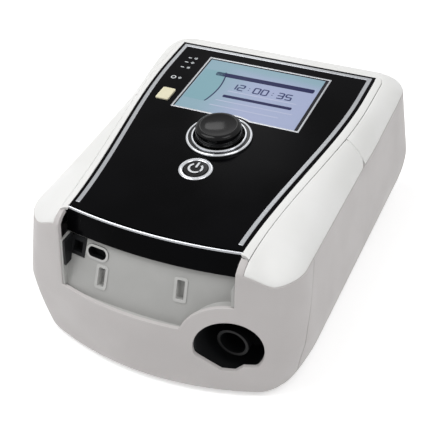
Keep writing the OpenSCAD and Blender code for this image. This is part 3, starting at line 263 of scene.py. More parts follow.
@dataclass(frozen=True)
class HousingForm:
    """Outer form of the housing: a wall that bows in front and leans in, and a shoulder up to the panel.

    The wall and the shoulder share two coordinates in millimetres: u runs along the belt,
    anticlockwise from the middle of the front, and v runs up from the bottom edge. A span gives the two
    places between which a change runs; those of the parting line are cosines of the direction.
    """

    belt_w: float = 210.0
    belt_z: float = 45.0
    base_tuck: float = 11.5
    rear_tuck_share: float = 1.3
    corner_tuck: float = 4.0
    front_tuck: float = 1.5
    lean: float = 9.0
    body_l: float = 275.5
    bow_r: float = 218.5
    corner_front: float = 15.0
    corner_rear: float = 22.0
    foot_h: float = 2.4
    bottom_r: float = 4.0
    parting_side: float = 93.0
    parting_rear: float = 105.0
    parting_front: float = 102.0
    panel_h: float = 116.0
    tilt: float = 2.0
    rear_overhang: float = 34.5
    panel_w_rear: float = 160.0
    panel_w_front: float = 123.0
    ledge_l: float = 25.1
    lip_bow_r: float = 350.0
    wall_v: float = 88.0
    shoulder_v: float = 28.0
    straight_share: float = 0.45
    straight_span: tuple[float, float] = (20.0, 100.0)
    corner_span: tuple[float, float] = (75.0, 110.0)
    panel_span: tuple[float, float] = (30.0, 1.0)
    panel_corner: tuple[float, float] = (2.0, 4.0)
    parting_rear_span: tuple[float, float] = (0.35, 0.85)
    parting_front_span: tuple[float, float] = (0.79, 0.885)
    shoulder_pull: float = 0.62
    shoulder_lift: float = 0.86
    widest: float = 280.0
    girth_z: float = 70.0

    @property
    def bow_y(self) -> float:
        """Centre of the bowed front."""
        return self.bow_r - self.body_l / 2

    @property
    def panel_y(self) -> float:
        """Rear edge of the panel."""
        return self.body_l / 2 - self.rear_overhang

    @property
    def panel_l(self) -> float:
        """Length of the panel along its slope."""
        return (self.body_l - self.rear_overhang - self.ledge_l) / math.cos(math.radians(self.tilt))

    @property
    def lip_y(self) -> float:
        """Centre of the bowed front edge of the panel."""
        return self.ledge_l - self.body_l / 2 + self.lip_bow_r

    @property
    def bottom_v(self) -> float:
        """Length of the rounded bottom edge."""
        return self.bottom_r * math.pi / 2

    @property
    def parting_v(self) -> float:
        """Where the wall ends and the shoulder begins."""
        return self.bottom_v + self.wall_v

    @property
    def top_v(self) -> float:
        """Where the shoulder meets the panel."""
        return self.parting_v + self.shoulder_v

    @staticmethod
    def ease(low: float, high: float, value: np.ndarray) -> np.ndarray:
        """Steps smoothly from 0 at low to 1 at high."""
        t = np.clip((value - low) / (high - low), 0, 1)
        return t * t * (3 - 2 * t)

    def tuck(self, z: np.ndarray, depth: float) -> np.ndarray:
        """Measures how far the wall lies inside the belt at height z."""
        below = depth * ((self.belt_z - z) / self.belt_z) ** 2
        return np.where(z < self.belt_z, below, math.tan(math.radians(self.lean)) * (z - self.belt_z))

    def bow_at(self, z: np.ndarray) -> np.ndarray:
        """Radius of the front at height z."""
        return self.bow_r - self.tuck(z, self.front_tuck)

    def half_width(self, y: np.ndarray, z: np.ndarray) -> np.ndarray:
        """Measures the housing's half width.

        Args:
            y: Depth.
            z: Height.

        Returns:
            The half width there.
        """
        less = np.where(z < self.belt_z, 1, 1 - self.straight_share * self.ease(*self.straight_span, y))
        corner = self.corner_tuck * self.ease(*self.corner_span, -y) * np.maximum(0, 1 - z / self.belt_z)
        return self.belt_w / 2 - self.tuck(z, self.base_tuck) * less - corner

    def rear_y(self, z: np.ndarray) -> np.ndarray:
        """Rear wall at height z."""
        return self.body_l / 2 - self.tuck(z, self.base_tuck * self.rear_tuck_share)

    def front_y(self, x: np.ndarray, z: np.ndarray) -> np.ndarray:
        """Front wall at x and height z."""
        return self.bow_y - np.sqrt(self.bow_at(z) ** 2 - np.asarray(x) ** 2)

    @staticmethod
    def two_walls(a: np.ndarray, b: np.ndarray, radius: float) -> np.ndarray:
        """Measures the signed distance to two walls that meet in a rounded corner."""
        outer = np.hypot(np.maximum(a + radius, 0), np.maximum(b + radius, 0))
        return np.minimum(np.maximum(a + radius, b + radius), 0) + outer - radius

    def wall_distance(self, x: np.ndarray, y: np.ndarray, z: np.ndarray) -> np.ndarray:
        """Measures how far a point lies outside the wall at its own height.

        Args:
            x: Place across.
            y: Depth.
            z: Height.

        Returns:
            Signed distance, negative inside.
        """
        h, r = z - self.foot_h, self.bottom_r
        edge = np.where(h < r, r - np.sqrt(np.clip(r ** 2 - (r - h) ** 2, 0, None)), 0)
        side = np.abs(x) - self.half_width(y, z) + edge
        ahead = np.hypot(x, y - self.bow_y) - self.bow_at(z) + edge
        front = self.two_walls(side, ahead, self.corner_front)
        rear = self.two_walls(side, y - self.rear_y(z) + edge, self.corner_rear)
        return np.where(y < 0, front, rear)

    def panel_half(self, v: np.ndarray) -> np.ndarray:
        """Half width of the panel at distance v from its rear edge."""
        narrowing = self.ease(self.panel_span[0], self.panel_l - self.panel_span[1], v)
        return self.panel_w_rear / 2 - (self.panel_w_rear - self.panel_w_front) / 2 * narrowing

    def panel_distance(self, x: np.ndarray, y: np.ndarray, z: np.ndarray) -> np.ndarray:
        """Measures how far a point lies outside the edge of the panel, in plan.

        Args:
            x: Place across.
            y: Depth.
            z: Height, which plays no part here.

        Returns:
            Signed distance, negative inside.
        """
        ahead, behind = self.panel_corner
        side = np.abs(x) - self.panel_half((self.panel_y - y) / math.cos(math.radians(self.tilt)))
        front = self.two_walls(side, np.hypot(x, y - self.lip_y) - self.lip_bow_r, ahead)
        return np.where(y < 0, front, self.two_walls(side, y - self.panel_y, behind))

    def panel_z(self, y: np.ndarray) -> np.ndarray:
        """Height of the panel at y."""
        return self.panel_h - (self.panel_y - y) * math.tan(math.radians(self.tilt))

    def reach(self, distance: Callable, a: np.ndarray, z: np.ndarray) -> np.ndarray:
        """Finds how far an edge lies from the middle, by halving.

        Args:
            distance: Signed distance from the edge, as a function of x, y and z.
            a: Directions, measured from the front.
            z: Heights.

        Returns:
            The distance in each direction.
        """
        low, high = np.zeros_like(a), np.full_like(a, self.widest)
        for _ in range(34):
            middle = (low + high) / 2
            out = distance(middle * np.sin(a), -middle * np.cos(a), z) > 0
            low, high = np.where(out, low, middle), np.where(out, middle, high)
        return (low + high) / 2

    def parting(self, a: np.ndarray) -> np.ndarray:
        """Finds the height of the parting line.

        Args:
            a: Directions, measured from the front.

        Returns:
            The height in each direction.
        """
        c, side = -np.cos(a), self.parting_side
        rear = side + (self.parting_rear - side) * self.ease(*self.parting_rear_span, c)
        front = side + (self.parting_front - side) * self.ease(*self.parting_front_span, -c)
        return np.where(c > 0, rear, front)

    def belt(self) -> tuple[np.ndarray, np.ndarray]:
        """Measures the girth of the wall, twice round.

        Returns:
            Directions, and the length along the wall up to each of them.
        """
        a = np.linspace(-2 * math.pi, 2 * math.pi, 16001)
        r = self.reach(self.wall_distance, a, np.full_like(a, self.girth_z))
        u = np.concatenate([[0], np.cumsum(np.hypot(np.diff(r * np.sin(a)), np.diff(r * np.cos(a))))])
        return a, u - np.interp(0, a, u)

    def shoulder(self, a: np.ndarray, t: np.ndarray) -> np.ndarray:
        """Finds points of the shoulder.

        Args:
            a: Directions, measured from the front.
            t: Share of the way from the parting line, 0, to the panel, 1.

        Returns:
            Points, n x 3.
        """
        z = self.parting(a)
        r = self.reach(self.wall_distance, a, z)
        p = self.reach(self.panel_distance, a, z)
        top = self.panel_z(-p * np.cos(a))
        q = self.shoulder_pull * r + (1 - self.shoulder_pull) * p
        b0, b1, b2 = (1 - t) ** 2, 2 * t * (1 - t), t * t
        radius = r * b0 + q * b1 + p * b2
        height = z * b0 + (z + self.shoulder_lift * (top - z)) * b1 + top * b2
        return np.column_stack([radius * np.sin(a), -radius * np.cos(a), height])


@dataclass
class HousingSkin:
    """The housing's outer surface as a function of (u, v), with the ways back from a place to (u, v)."""

    form: HousingForm = field(default_factory=HousingForm)

    def __post_init__(self) -> None:
        """Measures the belt once."""
        self.angles, self.lengths = self.form.belt()
        self.girth = float(np.interp(math.pi, self.angles, self.lengths)) * 2

    def angle(self, u: np.ndarray) -> np.ndarray:
        """Direction at a length along the belt."""
        return np.interp(u, self.lengths, self.angles)

    def along(self, a: np.ndarray) -> np.ndarray:
        """Length along the belt in a direction."""
        return np.interp(a, self.angles, self.lengths)

    def __call__(self, uv: np.ndarray) -> np.ndarray:
        """Finds points of the skin.

        Args:
            uv: Places on the skin, n x 2.

        Returns:
            Points, n x 3.
        """
        f = self.form
        a, v = self.angle(uv[:, 0]), uv[:, 1]
        arc = np.clip(v, 0, f.bottom_v) / f.bottom_r
        share = np.clip((v - f.bottom_v) / f.wall_v, 0, 1)
        foot = f.foot_h + f.bottom_r
        low, high = f.foot_h + f.bottom_r * (1 - np.cos(arc)), foot + share * (f.parting(a) - foot)
        z = np.where(v < f.bottom_v, low, high)
        r = f.reach(f.wall_distance, a, z)
        wall = np.column_stack([r * np.sin(a), -r * np.cos(a), z])
        top = f.shoulder(a, np.clip((v - f.parting_v) / f.shoulder_v, 0, 1))
        return np.where((v > f.parting_v)[:, None], top, wall)

    def on_wall(self, x: np.ndarray, z: np.ndarray, wall: Wall = Wall.FRONT) -> np.ndarray:
        """Finds places on the front or rear wall.

        Args:
            x: Places across.
            z: Heights.
            wall: Which wall.

        Returns:
            (u, v) of the places, n x 2.
        """
        f, rear = self.form, wall is Wall.REAR
        x, z = np.asarray(x, float), np.asarray(z, float)
        y = f.rear_y(z) if rear else f.front_y(x, z)
        a = np.arctan2(x, -y)
        a = np.where(rear & (a < 0), a + 2 * math.pi, a)
        foot = f.foot_h + f.bottom_r
        return np.column_stack([self.along(a), f.bottom_v + f.wall_v * (z - foot) / (f.parting(a) - foot)])

    def on_shoulder(self, x: np.ndarray, y: np.ndarray, turn: bool = False) -> np.ndarray:
        """Finds places on the shoulder. Past the parting line v stays there.

        Args:
            x: Places across.
            y: Depths.
            turn: Whether directions on the -X side are counted on past the rear.

        Returns:
            (u, v) of the places, n x 2.
        """
        f = self.form
        x, y = np.asarray(x, float), np.asarray(y, float)
        a = np.arctan2(x, -y)
        radius = np.hypot(x, y)
        low, high = np.zeros_like(a), np.ones_like(a)
        for _ in range(30):
            middle = (low + high) / 2
            point = f.shoulder(a, middle)
            out = np.hypot(point[:, 0], point[:, 1]) > radius
            low, high = np.where(out, middle, low), np.where(out, high, middle)
        if turn:
            a = np.where(a < 0, a + 2 * math.pi, a)
        return np.column_stack([self.along(a), f.parting_v + f.shoulder_v * (low + high) / 2])


@dataclass
class Rim:
    """One closed boundary of a sheet, with the material on its left.

    rolled says of each edge, from a point to the next, whether it gets a rounded edge.
    """

    places: np.ndarray
    rolled: np.ndarray | bool = True

    def __post_init__(self) -> None:
        """Spreads one answer over all edges."""
        if isinstance(self.rolled, bool):
            self.rolled = np.full(len(self.places), self.rolled)


@dataclass
class Sheet:
    """A moulded wall: a trimmed piece of a surface with rounded edges, a thickness and an inner face."""

    surface: Surface
    rims: list[Rim]
    step: float = 2.6
    roll: float = 0.55
    depth: float = 2.6
    steps: int = 3

    def axes(self, uv: np.ndarray) -> tuple[np.ndarray, np.ndarray, np.ndarray, np.ndarray]:
        """Measures the surface.

        Args:
            uv: Places, n x 2.

        Returns:
            Points, the two directions of the surface, and its outward normal.
        """
        e = 0.04
        point = self.surface(uv)
        du = (self.surface(uv + [e, 0]) - self.surface(uv - [e, 0])) / (2 * e)
        dv = (self.surface(uv + [0, e]) - self.surface(uv - [0, e])) / (2 * e)
        normal = np.cross(du, dv)
        return point, du, dv, normal / np.linalg.norm(normal, axis=1)[:, None]

    def drawn_in(self, rim: Rim) -> tuple[np.ndarray, np.ndarray, np.ndarray]:
        """Finds where the surface ends before its rounded edge, and which way that edge faces.

        Args:
            rim: The rim.

        Returns:
            Places drawn in by the radius, outward directions and normals there.
        """
        point, _, _, normal = self.axes(rim.places)
        edge = np.roll(point, -1, axis=0) - point
        edge /= np.maximum(np.linalg.norm(edge, axis=1), 1e-9)[:, None]
        out_next = np.cross(edge, normal)
        out_last = np.cross(np.roll(edge, 1, axis=0), normal)
        both = out_next * rim.rolled[:, None] + out_last * np.roll(rim.rolled, 1)[:, None]
        length = np.linalg.norm(both, axis=1)
        out = both / np.maximum(length, 1e-9)[:, None]
        facing = np.maximum((out * np.where(rim.rolled[:, None], out_next, out_last)).sum(1), 0.7)
        out = out / facing[:, None] * (length > 1e-6)[:, None]
        uv = rim.places.copy()
        for _ in range(2):
            here, du, dv, normal = self.axes(uv)
            miss = point - self.roll * out - here
            a, b, c = (du * du).sum(1), (du * dv).sum(1), (dv * dv).sum(1)
            p, q = (du * miss).sum(1), (dv * miss).sum(1)
            det = np.maximum(a * c - b * b, 1e-9)
            move = np.column_stack([(c * p - b * q) / det, (a * q - b * p) / det])
            uv = uv + move * (length > 1e-6)[:, None]
        return uv, out, normal

    def build(self) -> Solid:
        """Makes the closed wall.

        Returns:
            Points in millimetres and faces.
        """
        drawn = [self.drawn_in(rim) for rim in self.rims]
        loops = [d[0] for d in drawn]
        border = np.vstack(loops)
        low, high = border.min(0), border.max(0)
        lines = [np.arange(low[k], high[k], self.step) for k in (0, 1)]
        grid = np.stack(np.meshgrid(*lines), -1).reshape(-1, 2)
        grid = grid[inside(grid, loops)]
        near = np.zeros(len(grid), bool)
        for part in np.array_split(border, max(1, len(border) // 200)):
            near |= (((grid[:, None] - part[None]) ** 2).sum(-1) < (0.55 * self.step) ** 2).any(1)
        grid = grid[~near]
        edges, start = [], 0
        for loop in loops:
            edges += [(start + i, start + (i + 1) % len(loop)) for i in range(len(loop))]
            start += len(loop)
        cdt = delaunay_2d_cdt([Vector(p) for p in np.vstack([border, grid])], edges, [], 0, 1e-6)
        uv = np.array([tuple(p) for p in cdt[0]], float)
        tri = np.array([f for f in cdt[2] if len(f) == 3])
        middle = uv[tri].mean(1)
        tri = tri[inside(middle, loops)]
        a, b, c = uv[tri[:, 0]], uv[tri[:, 1]], uv[tri[:, 2]]
        turn = (b[:, 0] - a[:, 0]) * (c[:, 1] - a[:, 1]) - (b[:, 1] - a[:, 1]) * (c[:, 0] - a[:, 0])
        tri[turn < 0] = tri[turn < 0][:, ::-1]
        where = {}
        for k, found in enumerate(cdt[3]):
            for i in found:
                where[i] = k
        point, _, _, normal = self.axes(uv)
        count = len(uv)
        points = [point, point - normal * self.depth]
        faces = [tuple(t) for t in tri] + [tuple(t[::-1] + count) for t in tri]
        total, start = 2 * count, 0
        for rim, (places, out, facing) in zip(self.rims, drawn):
            n = len(places)
            first = np.array([where[start + i] for i in range(n)])
            start += n
            rows = [first]
            base = self.surface(places)
            for k in range(1, self.steps + 1):
                t = math.pi / 2 * k / self.steps
                points.append(base + self.roll * (out * math.sin(t) + facing * (math.cos(t) - 1)))
                rows.append(total + np.arange(n))
                total += n
            points.append(base + self.roll * out - self.depth * facing)
            rows += [total + np.arange(n), first + count]
            total += n
            for lower, upper in zip(rows, rows[1:]):
                for i in np.flatnonzero(rim.rolled):
                    j = (i + 1) % n
                    faces.append((lower[j], lower[i], upper[i], upper[j]))
        return np.vstack(points), faces


def joined(parts: Sequence[Solid]) -> Solid:
    """Puts several meshes into one.

    Args:
        parts: Points and faces of each.

    Returns:
        All points and faces.
    """
    points, faces, start = [], [], 0
    for p, f in parts:
        points.append(np.asarray(p, float))
        faces += [tuple(int(i) + start for i in face) for face in f]
        start += len(p)
    return np.vstack(points), faces


# Finishes

class Coat:
    """A node material in the making; its sizes are in millimetres."""

    def __init__(self, name: str) -> None:
        """Starts the material.

        Args:
            name: Its name.
        """
        self.made = bpy.data.materials.new(name)
        self.made.use_nodes = True
        self.made.node_tree.nodes.clear()
        self.place = self.add("TexCoord").outputs["Object"]

    def add(self, kind: str, links: dict | None = None, **settings: object) -> bpy.types.Node:
        """Adds one shader node, by Blender's name of its kind without the word ShaderNode."""
        return node(self.made.node_tree, "ShaderNode" + kind, links, **settings)

    def noise(self, size: float, detail: float = 2.0) -> bpy.types.NodeSocket:
        """Adds soft random patches of a size, as a height from 0 to 1."""
        made = self.add("TexNoise", {"Vector": self.place, "Scale": 1000 / size, "Detail": detail})
        return made.outputs[0]

    def spread(self, value: bpy.types.NodeSocket, low: float, high: float) -> bpy.types.NodeSocket:
        """Maps a value from 0 and 1 to low and high."""
        return self.add("MapRange", {0: value, 3: low, 4: high}).outputs[0]

    def calc(self, way: str, *values: object, **settings: object) -> bpy.types.NodeSocket:
        """Adds one sum of sockets or numbers, by Blender's name of its way."""
        return self.add("Math", dict(enumerate(values)), operation=way, **settings).outputs[0]

    def mix(self, share: object, first: object, second: object, way: str = "MIX") -> bpy.types.NodeSocket:
        """Mixes two colours by the share of the second, in the way that Blender's name says."""
        made = self.add("Mix", {0: share, 6: first, 7: second}, data_type="RGBA", blend_type=way)
        return made.outputs[2]

    def bump(self, height: bpy.types.NodeSocket, depth: float,
             strength: float = 1.0) -> bpy.types.NodeSocket:
        """Makes a fine relief from a height, its depth and the share of it that shows."""
        made = self.add("Bump", {"Height": height, "Distance": depth * MM, "Strength": strength})
        return made.outputs[0]

    def end(self, inputs: dict) -> bpy.types.Material:
        """Ends the material with its shader.

        Args:
            inputs: Sockets and values for the shader.

        Returns:
            The material.
        """
        shader = self.add("BsdfPrincipled", inputs)
        self.add("OutputMaterial", {"Surface": shader.outputs[0]})
        return self.made


@dataclass(frozen=True)
class Moulded:
    """A moulded plastic or rubber: its colour, a slow drift of it, the tool's texture and its gloss."""

    name: str
    slot: str
    colour: str
    drift: str
    gloss: tuple[float, float]
    grain: float = 0.6
    depth: float = 0.02
    patch: float = 42.0
    ior: float = 1.53
    specular: float = 0.5
    sheen: float = 0.0

    def dress(self) -> bpy.types.Material:
        """Builds the material.

        Returns:
            The material.
        """
        coat = Coat(self.name)
        fine = coat.noise(self.grain)
        slow = coat.add("MapRange", {0: coat.noise(self.patch, 3.0), 1: 0.35, 2: 0.65}).outputs[0]
        both = coat.calc("ADD", slow, coat.calc("MULTIPLY", fine, 0.35), use_clamp=True)
        return coat.end({"Base Color": coat.mix(both, linear(self.colour), linear(self.drift)),
                         "Roughness": coat.spread(both, *self.gloss), "Normal": coat.bump(fine, self.depth),
                         "Specular IOR Level": self.specular, "IOR": self.ior, "Sheen Weight": self.sheen})


@dataclass(frozen=True)
class Metal:
    """A bare or plated metal: colour, gloss and the lines that polishing or turning left."""

    name: str
    slot: str
    colour: str
    drift: str
    gloss: tuple[float, float]
    line: float = 0.5
    depth: float = 0.004
    patch: float = 50 / 3

    def dress(self) -> bpy.types.Material:
        """Builds the material.

        Returns:
            The material.
        """
        coat = Coat(self.name)
        lines = coat.noise(self.line, 4.0)
        colour = coat.mix(coat.noise(self.patch), linear(self.colour), linear(self.drift))
        return coat.end({"Base Color": colour, "Roughness": coat.spread(lines, *self.gloss),
                         "Normal": coat.bump(lines, self.depth, 0.6), "Metallic": 1.0})


@dataclass(frozen=True)
class Backlit:
    """The lit display behind its glass: a bluish field with tints, the dot grid and a dark border line.

    Places are measured from the middle of the display, x right and y up. A span says where a tint
    begins and ends.
    """

    name: str = "LCD display, backlit"
    slot: str = "display_glass"
    centre: tuple[float, float, float] = (0, 0, 0)
    tilt: float = 2.0
    half: tuple[float, float] = (48.65, 33.85)
    border: tuple[float, float] = (0.9, 0.7)
    column: float = 2.6
    left_span: tuple[float, float] = (-46.0, 8.0)
    top_span: tuple[float, float] = (14.0, 34.0)
    patches: float = 0.055
    dot: float = 0.9
    share: float = 0.36

    def dress(self) -> bpy.types.Material:
        """Builds the material, of which a share of the light is its own.

        Returns:
            The material.
        """
        coat = Coat(self.name)
        origin = [float(c) for c in (np.array(self.centre) + part_origin()) * MM]
        place = coat.add("Mapping", {"Vector": coat.place, "Location": origin, "Scale": (MM, MM, MM),
                         "Rotation": (math.radians(self.tilt), 0, 0)}, vector_type="TEXTURE").outputs[0]
        x, y = coat.add("SeparateXYZ", {0: place}).outputs[:2]
        tints = []
        for value, (first, last), ends in ((x, self.left_span, (1.0, 0.0)), (y, self.top_span, (0.0, 1.0))):
            tints.append(coat.add("MapRange", {0: value, 1: first, 2: last, 3: ends[0], 4: ends[1]},
                                  interpolation_type="SMOOTHSTEP").outputs[0])
        cloud = coat.add("TexNoise", {"Vector": place, "Scale": self.patches, "Detail": 3.0}).outputs[0]
        amount = coat.calc("ADD", coat.calc("MAXIMUM", *tints), coat.calc("MULTIPLY", cloud, 0.35),
                           use_clamp=True)
        ground = coat.mix(amount, linear("#C4CBF2"), linear("#A6C8D8"))
        grid = coat.add("TexChecker", {"Vector": place, "Scale": 1 / self.dot,
                        "Color1": (0.93, 0.93, 0.93, 1), "Color2": (1, 1, 1, 1)}).outputs[0]
        side = coat.calc("GREATER_THAN", x, self.half[0] - self.column)
        for value, half, line in zip((x, y), self.half, self.border):
            past = coat.calc("GREATER_THAN", coat.calc("ABSOLUTE", value), half - line)
            side = coat.calc("MAXIMUM", side, past)
        shown = coat.mix(side, coat.mix(1.0, ground, grid, "MULTIPLY"), linear("#1A1D26"))
        glow = coat.mix(self.share, (0, 0, 0, 1), shown)
        return coat.end({"Base Color": glow, "Emission Color": glow, "Emission Strength": 1.0,
                         "Roughness": 0.22, "Specular IOR Level": 0.1})


@dataclass(frozen=True)
class Pixels:
    """Dark or bright parts of the display's picture, with the display's own dot grid."""

    name: str
    slot: str
    colour: str
    drift: str
    share: float = 0.36
    dot: float = 0.9
    patch: float = 50 / 3

    def dress(self) -> bpy.types.Material:
        """Builds the material, of which a share of the light is its own.

        Returns:
            The material.
        """
        coat = Coat(self.name)
        grid = coat.add("TexChecker", {"Vector": coat.place, "Scale": 1000 / self.dot,
                        "Color1": linear(self.colour), "Color2": linear(self.drift)}).outputs[0]
        glow = coat.mix(self.share, (0, 0, 0, 1), grid)
        return coat.end({"Base Color": glow, "Emission Color": glow, "Emission Strength": 1.0,
                         "Roughness": coat.spread(coat.noise(self.patch), 0.2, 0.3),
                         "Specular IOR Level": 0.1})


@dataclass(frozen=True)
class Clear:
    """A clear moulded plastic or silicone that lets light through, with a faint ripple from the mould."""

    name: str
    slot: str
    colour: str
    gloss: float
    passing: float
    ior: float = 1.49
    ripple: float = 2.0
    depth: float = 0.01

    def dress(self) -> bpy.types.Material:
        """Builds the material.

        Returns:
            The material.
        """
        coat = Coat(self.name)
        wave = coat.noise(self.ripple)
        return coat.end({"Base Color": linear(self.colour), "Normal": coat.bump(wave, self.depth, 0.5),
                         "Roughness": coat.spread(wave, self.gloss, self.gloss + 0.08),
                         "Transmission Weight": self.passing, "IOR": self.ior})


@dataclass(frozen=True)
class Cells:
    """A surface of small cells, such as open foam, pressed fleece or a wound coil, with painted shade in the
    hollows between them.
    """

    name: str
    slot: str
    colour: str
    # Painted shade: the darker colour that the hollows of the relief get
    deep: str
    cell: float
    depth: float
    gloss: float
    stretch: tuple[float, float, float] = (1, 1, 1)
    metallic: float = 0.0
    sheen: float = 0.0
    patch: float = 12.5

    def dress(self) -> bpy.types.Material:
        """Builds the material.

        Returns:
            The material.
        """
        coat = Coat(self.name)
        scaled = coat.add("Mapping", {"Vector": coat.place, "Scale": self.stretch}).outputs[0]
        cells = coat.add("TexVoronoi", {"Vector": scaled, "Scale": 1000 / self.cell}).outputs[0]
        # The low parts of the relief get the deep colour: painted shade in the hollows.
        ramp = coat.add("MapRange", {0: cells, 1: 0.1, 2: 0.6}).outputs[0]
        rough = coat.spread(coat.noise(self.patch, 3.0), self.gloss - 0.08, self.gloss + 0.08)
        return coat.end({"Base Color": coat.mix(ramp, linear(self.deep), linear(self.colour)),
                         "Roughness": rough, "Normal": coat.bump(cells, self.depth),
                         "Metallic": self.metallic, "Sheen Weight": self.sheen})


@dataclass(frozen=True)
class Board:
    """A printed circuit board: lacquered glass fibre with copper tracks under the lacquer."""

    name: str = "FR-4 glass fibre, green lacquer"
    slot: str = "circuit_board"
    pitch: float = 2.54
    depth: float = 0.035
    dust: float = 25 / 3

    def dress(self) -> bpy.types.Material:
        """Builds the material.

        Returns:
            The material.
        """
        coat = Coat(self.name)
        tracks = coat.add("TexBrick", {"Vector": coat.place, "Scale": 1000 / self.pitch,
                          "Mortar Size": 0.12, "Color1": linear("#1F5A3A"), "Color2": linear("#24643F"),
                          "Mortar": linear("#3C8354")})
        return coat.end({"Base Color": tracks.outputs[0], "Normal": coat.bump(tracks.outputs[1], self.depth),
                         "Roughness": coat.spread(coat.noise(self.dust, 3.0), 0.22, 0.4)})


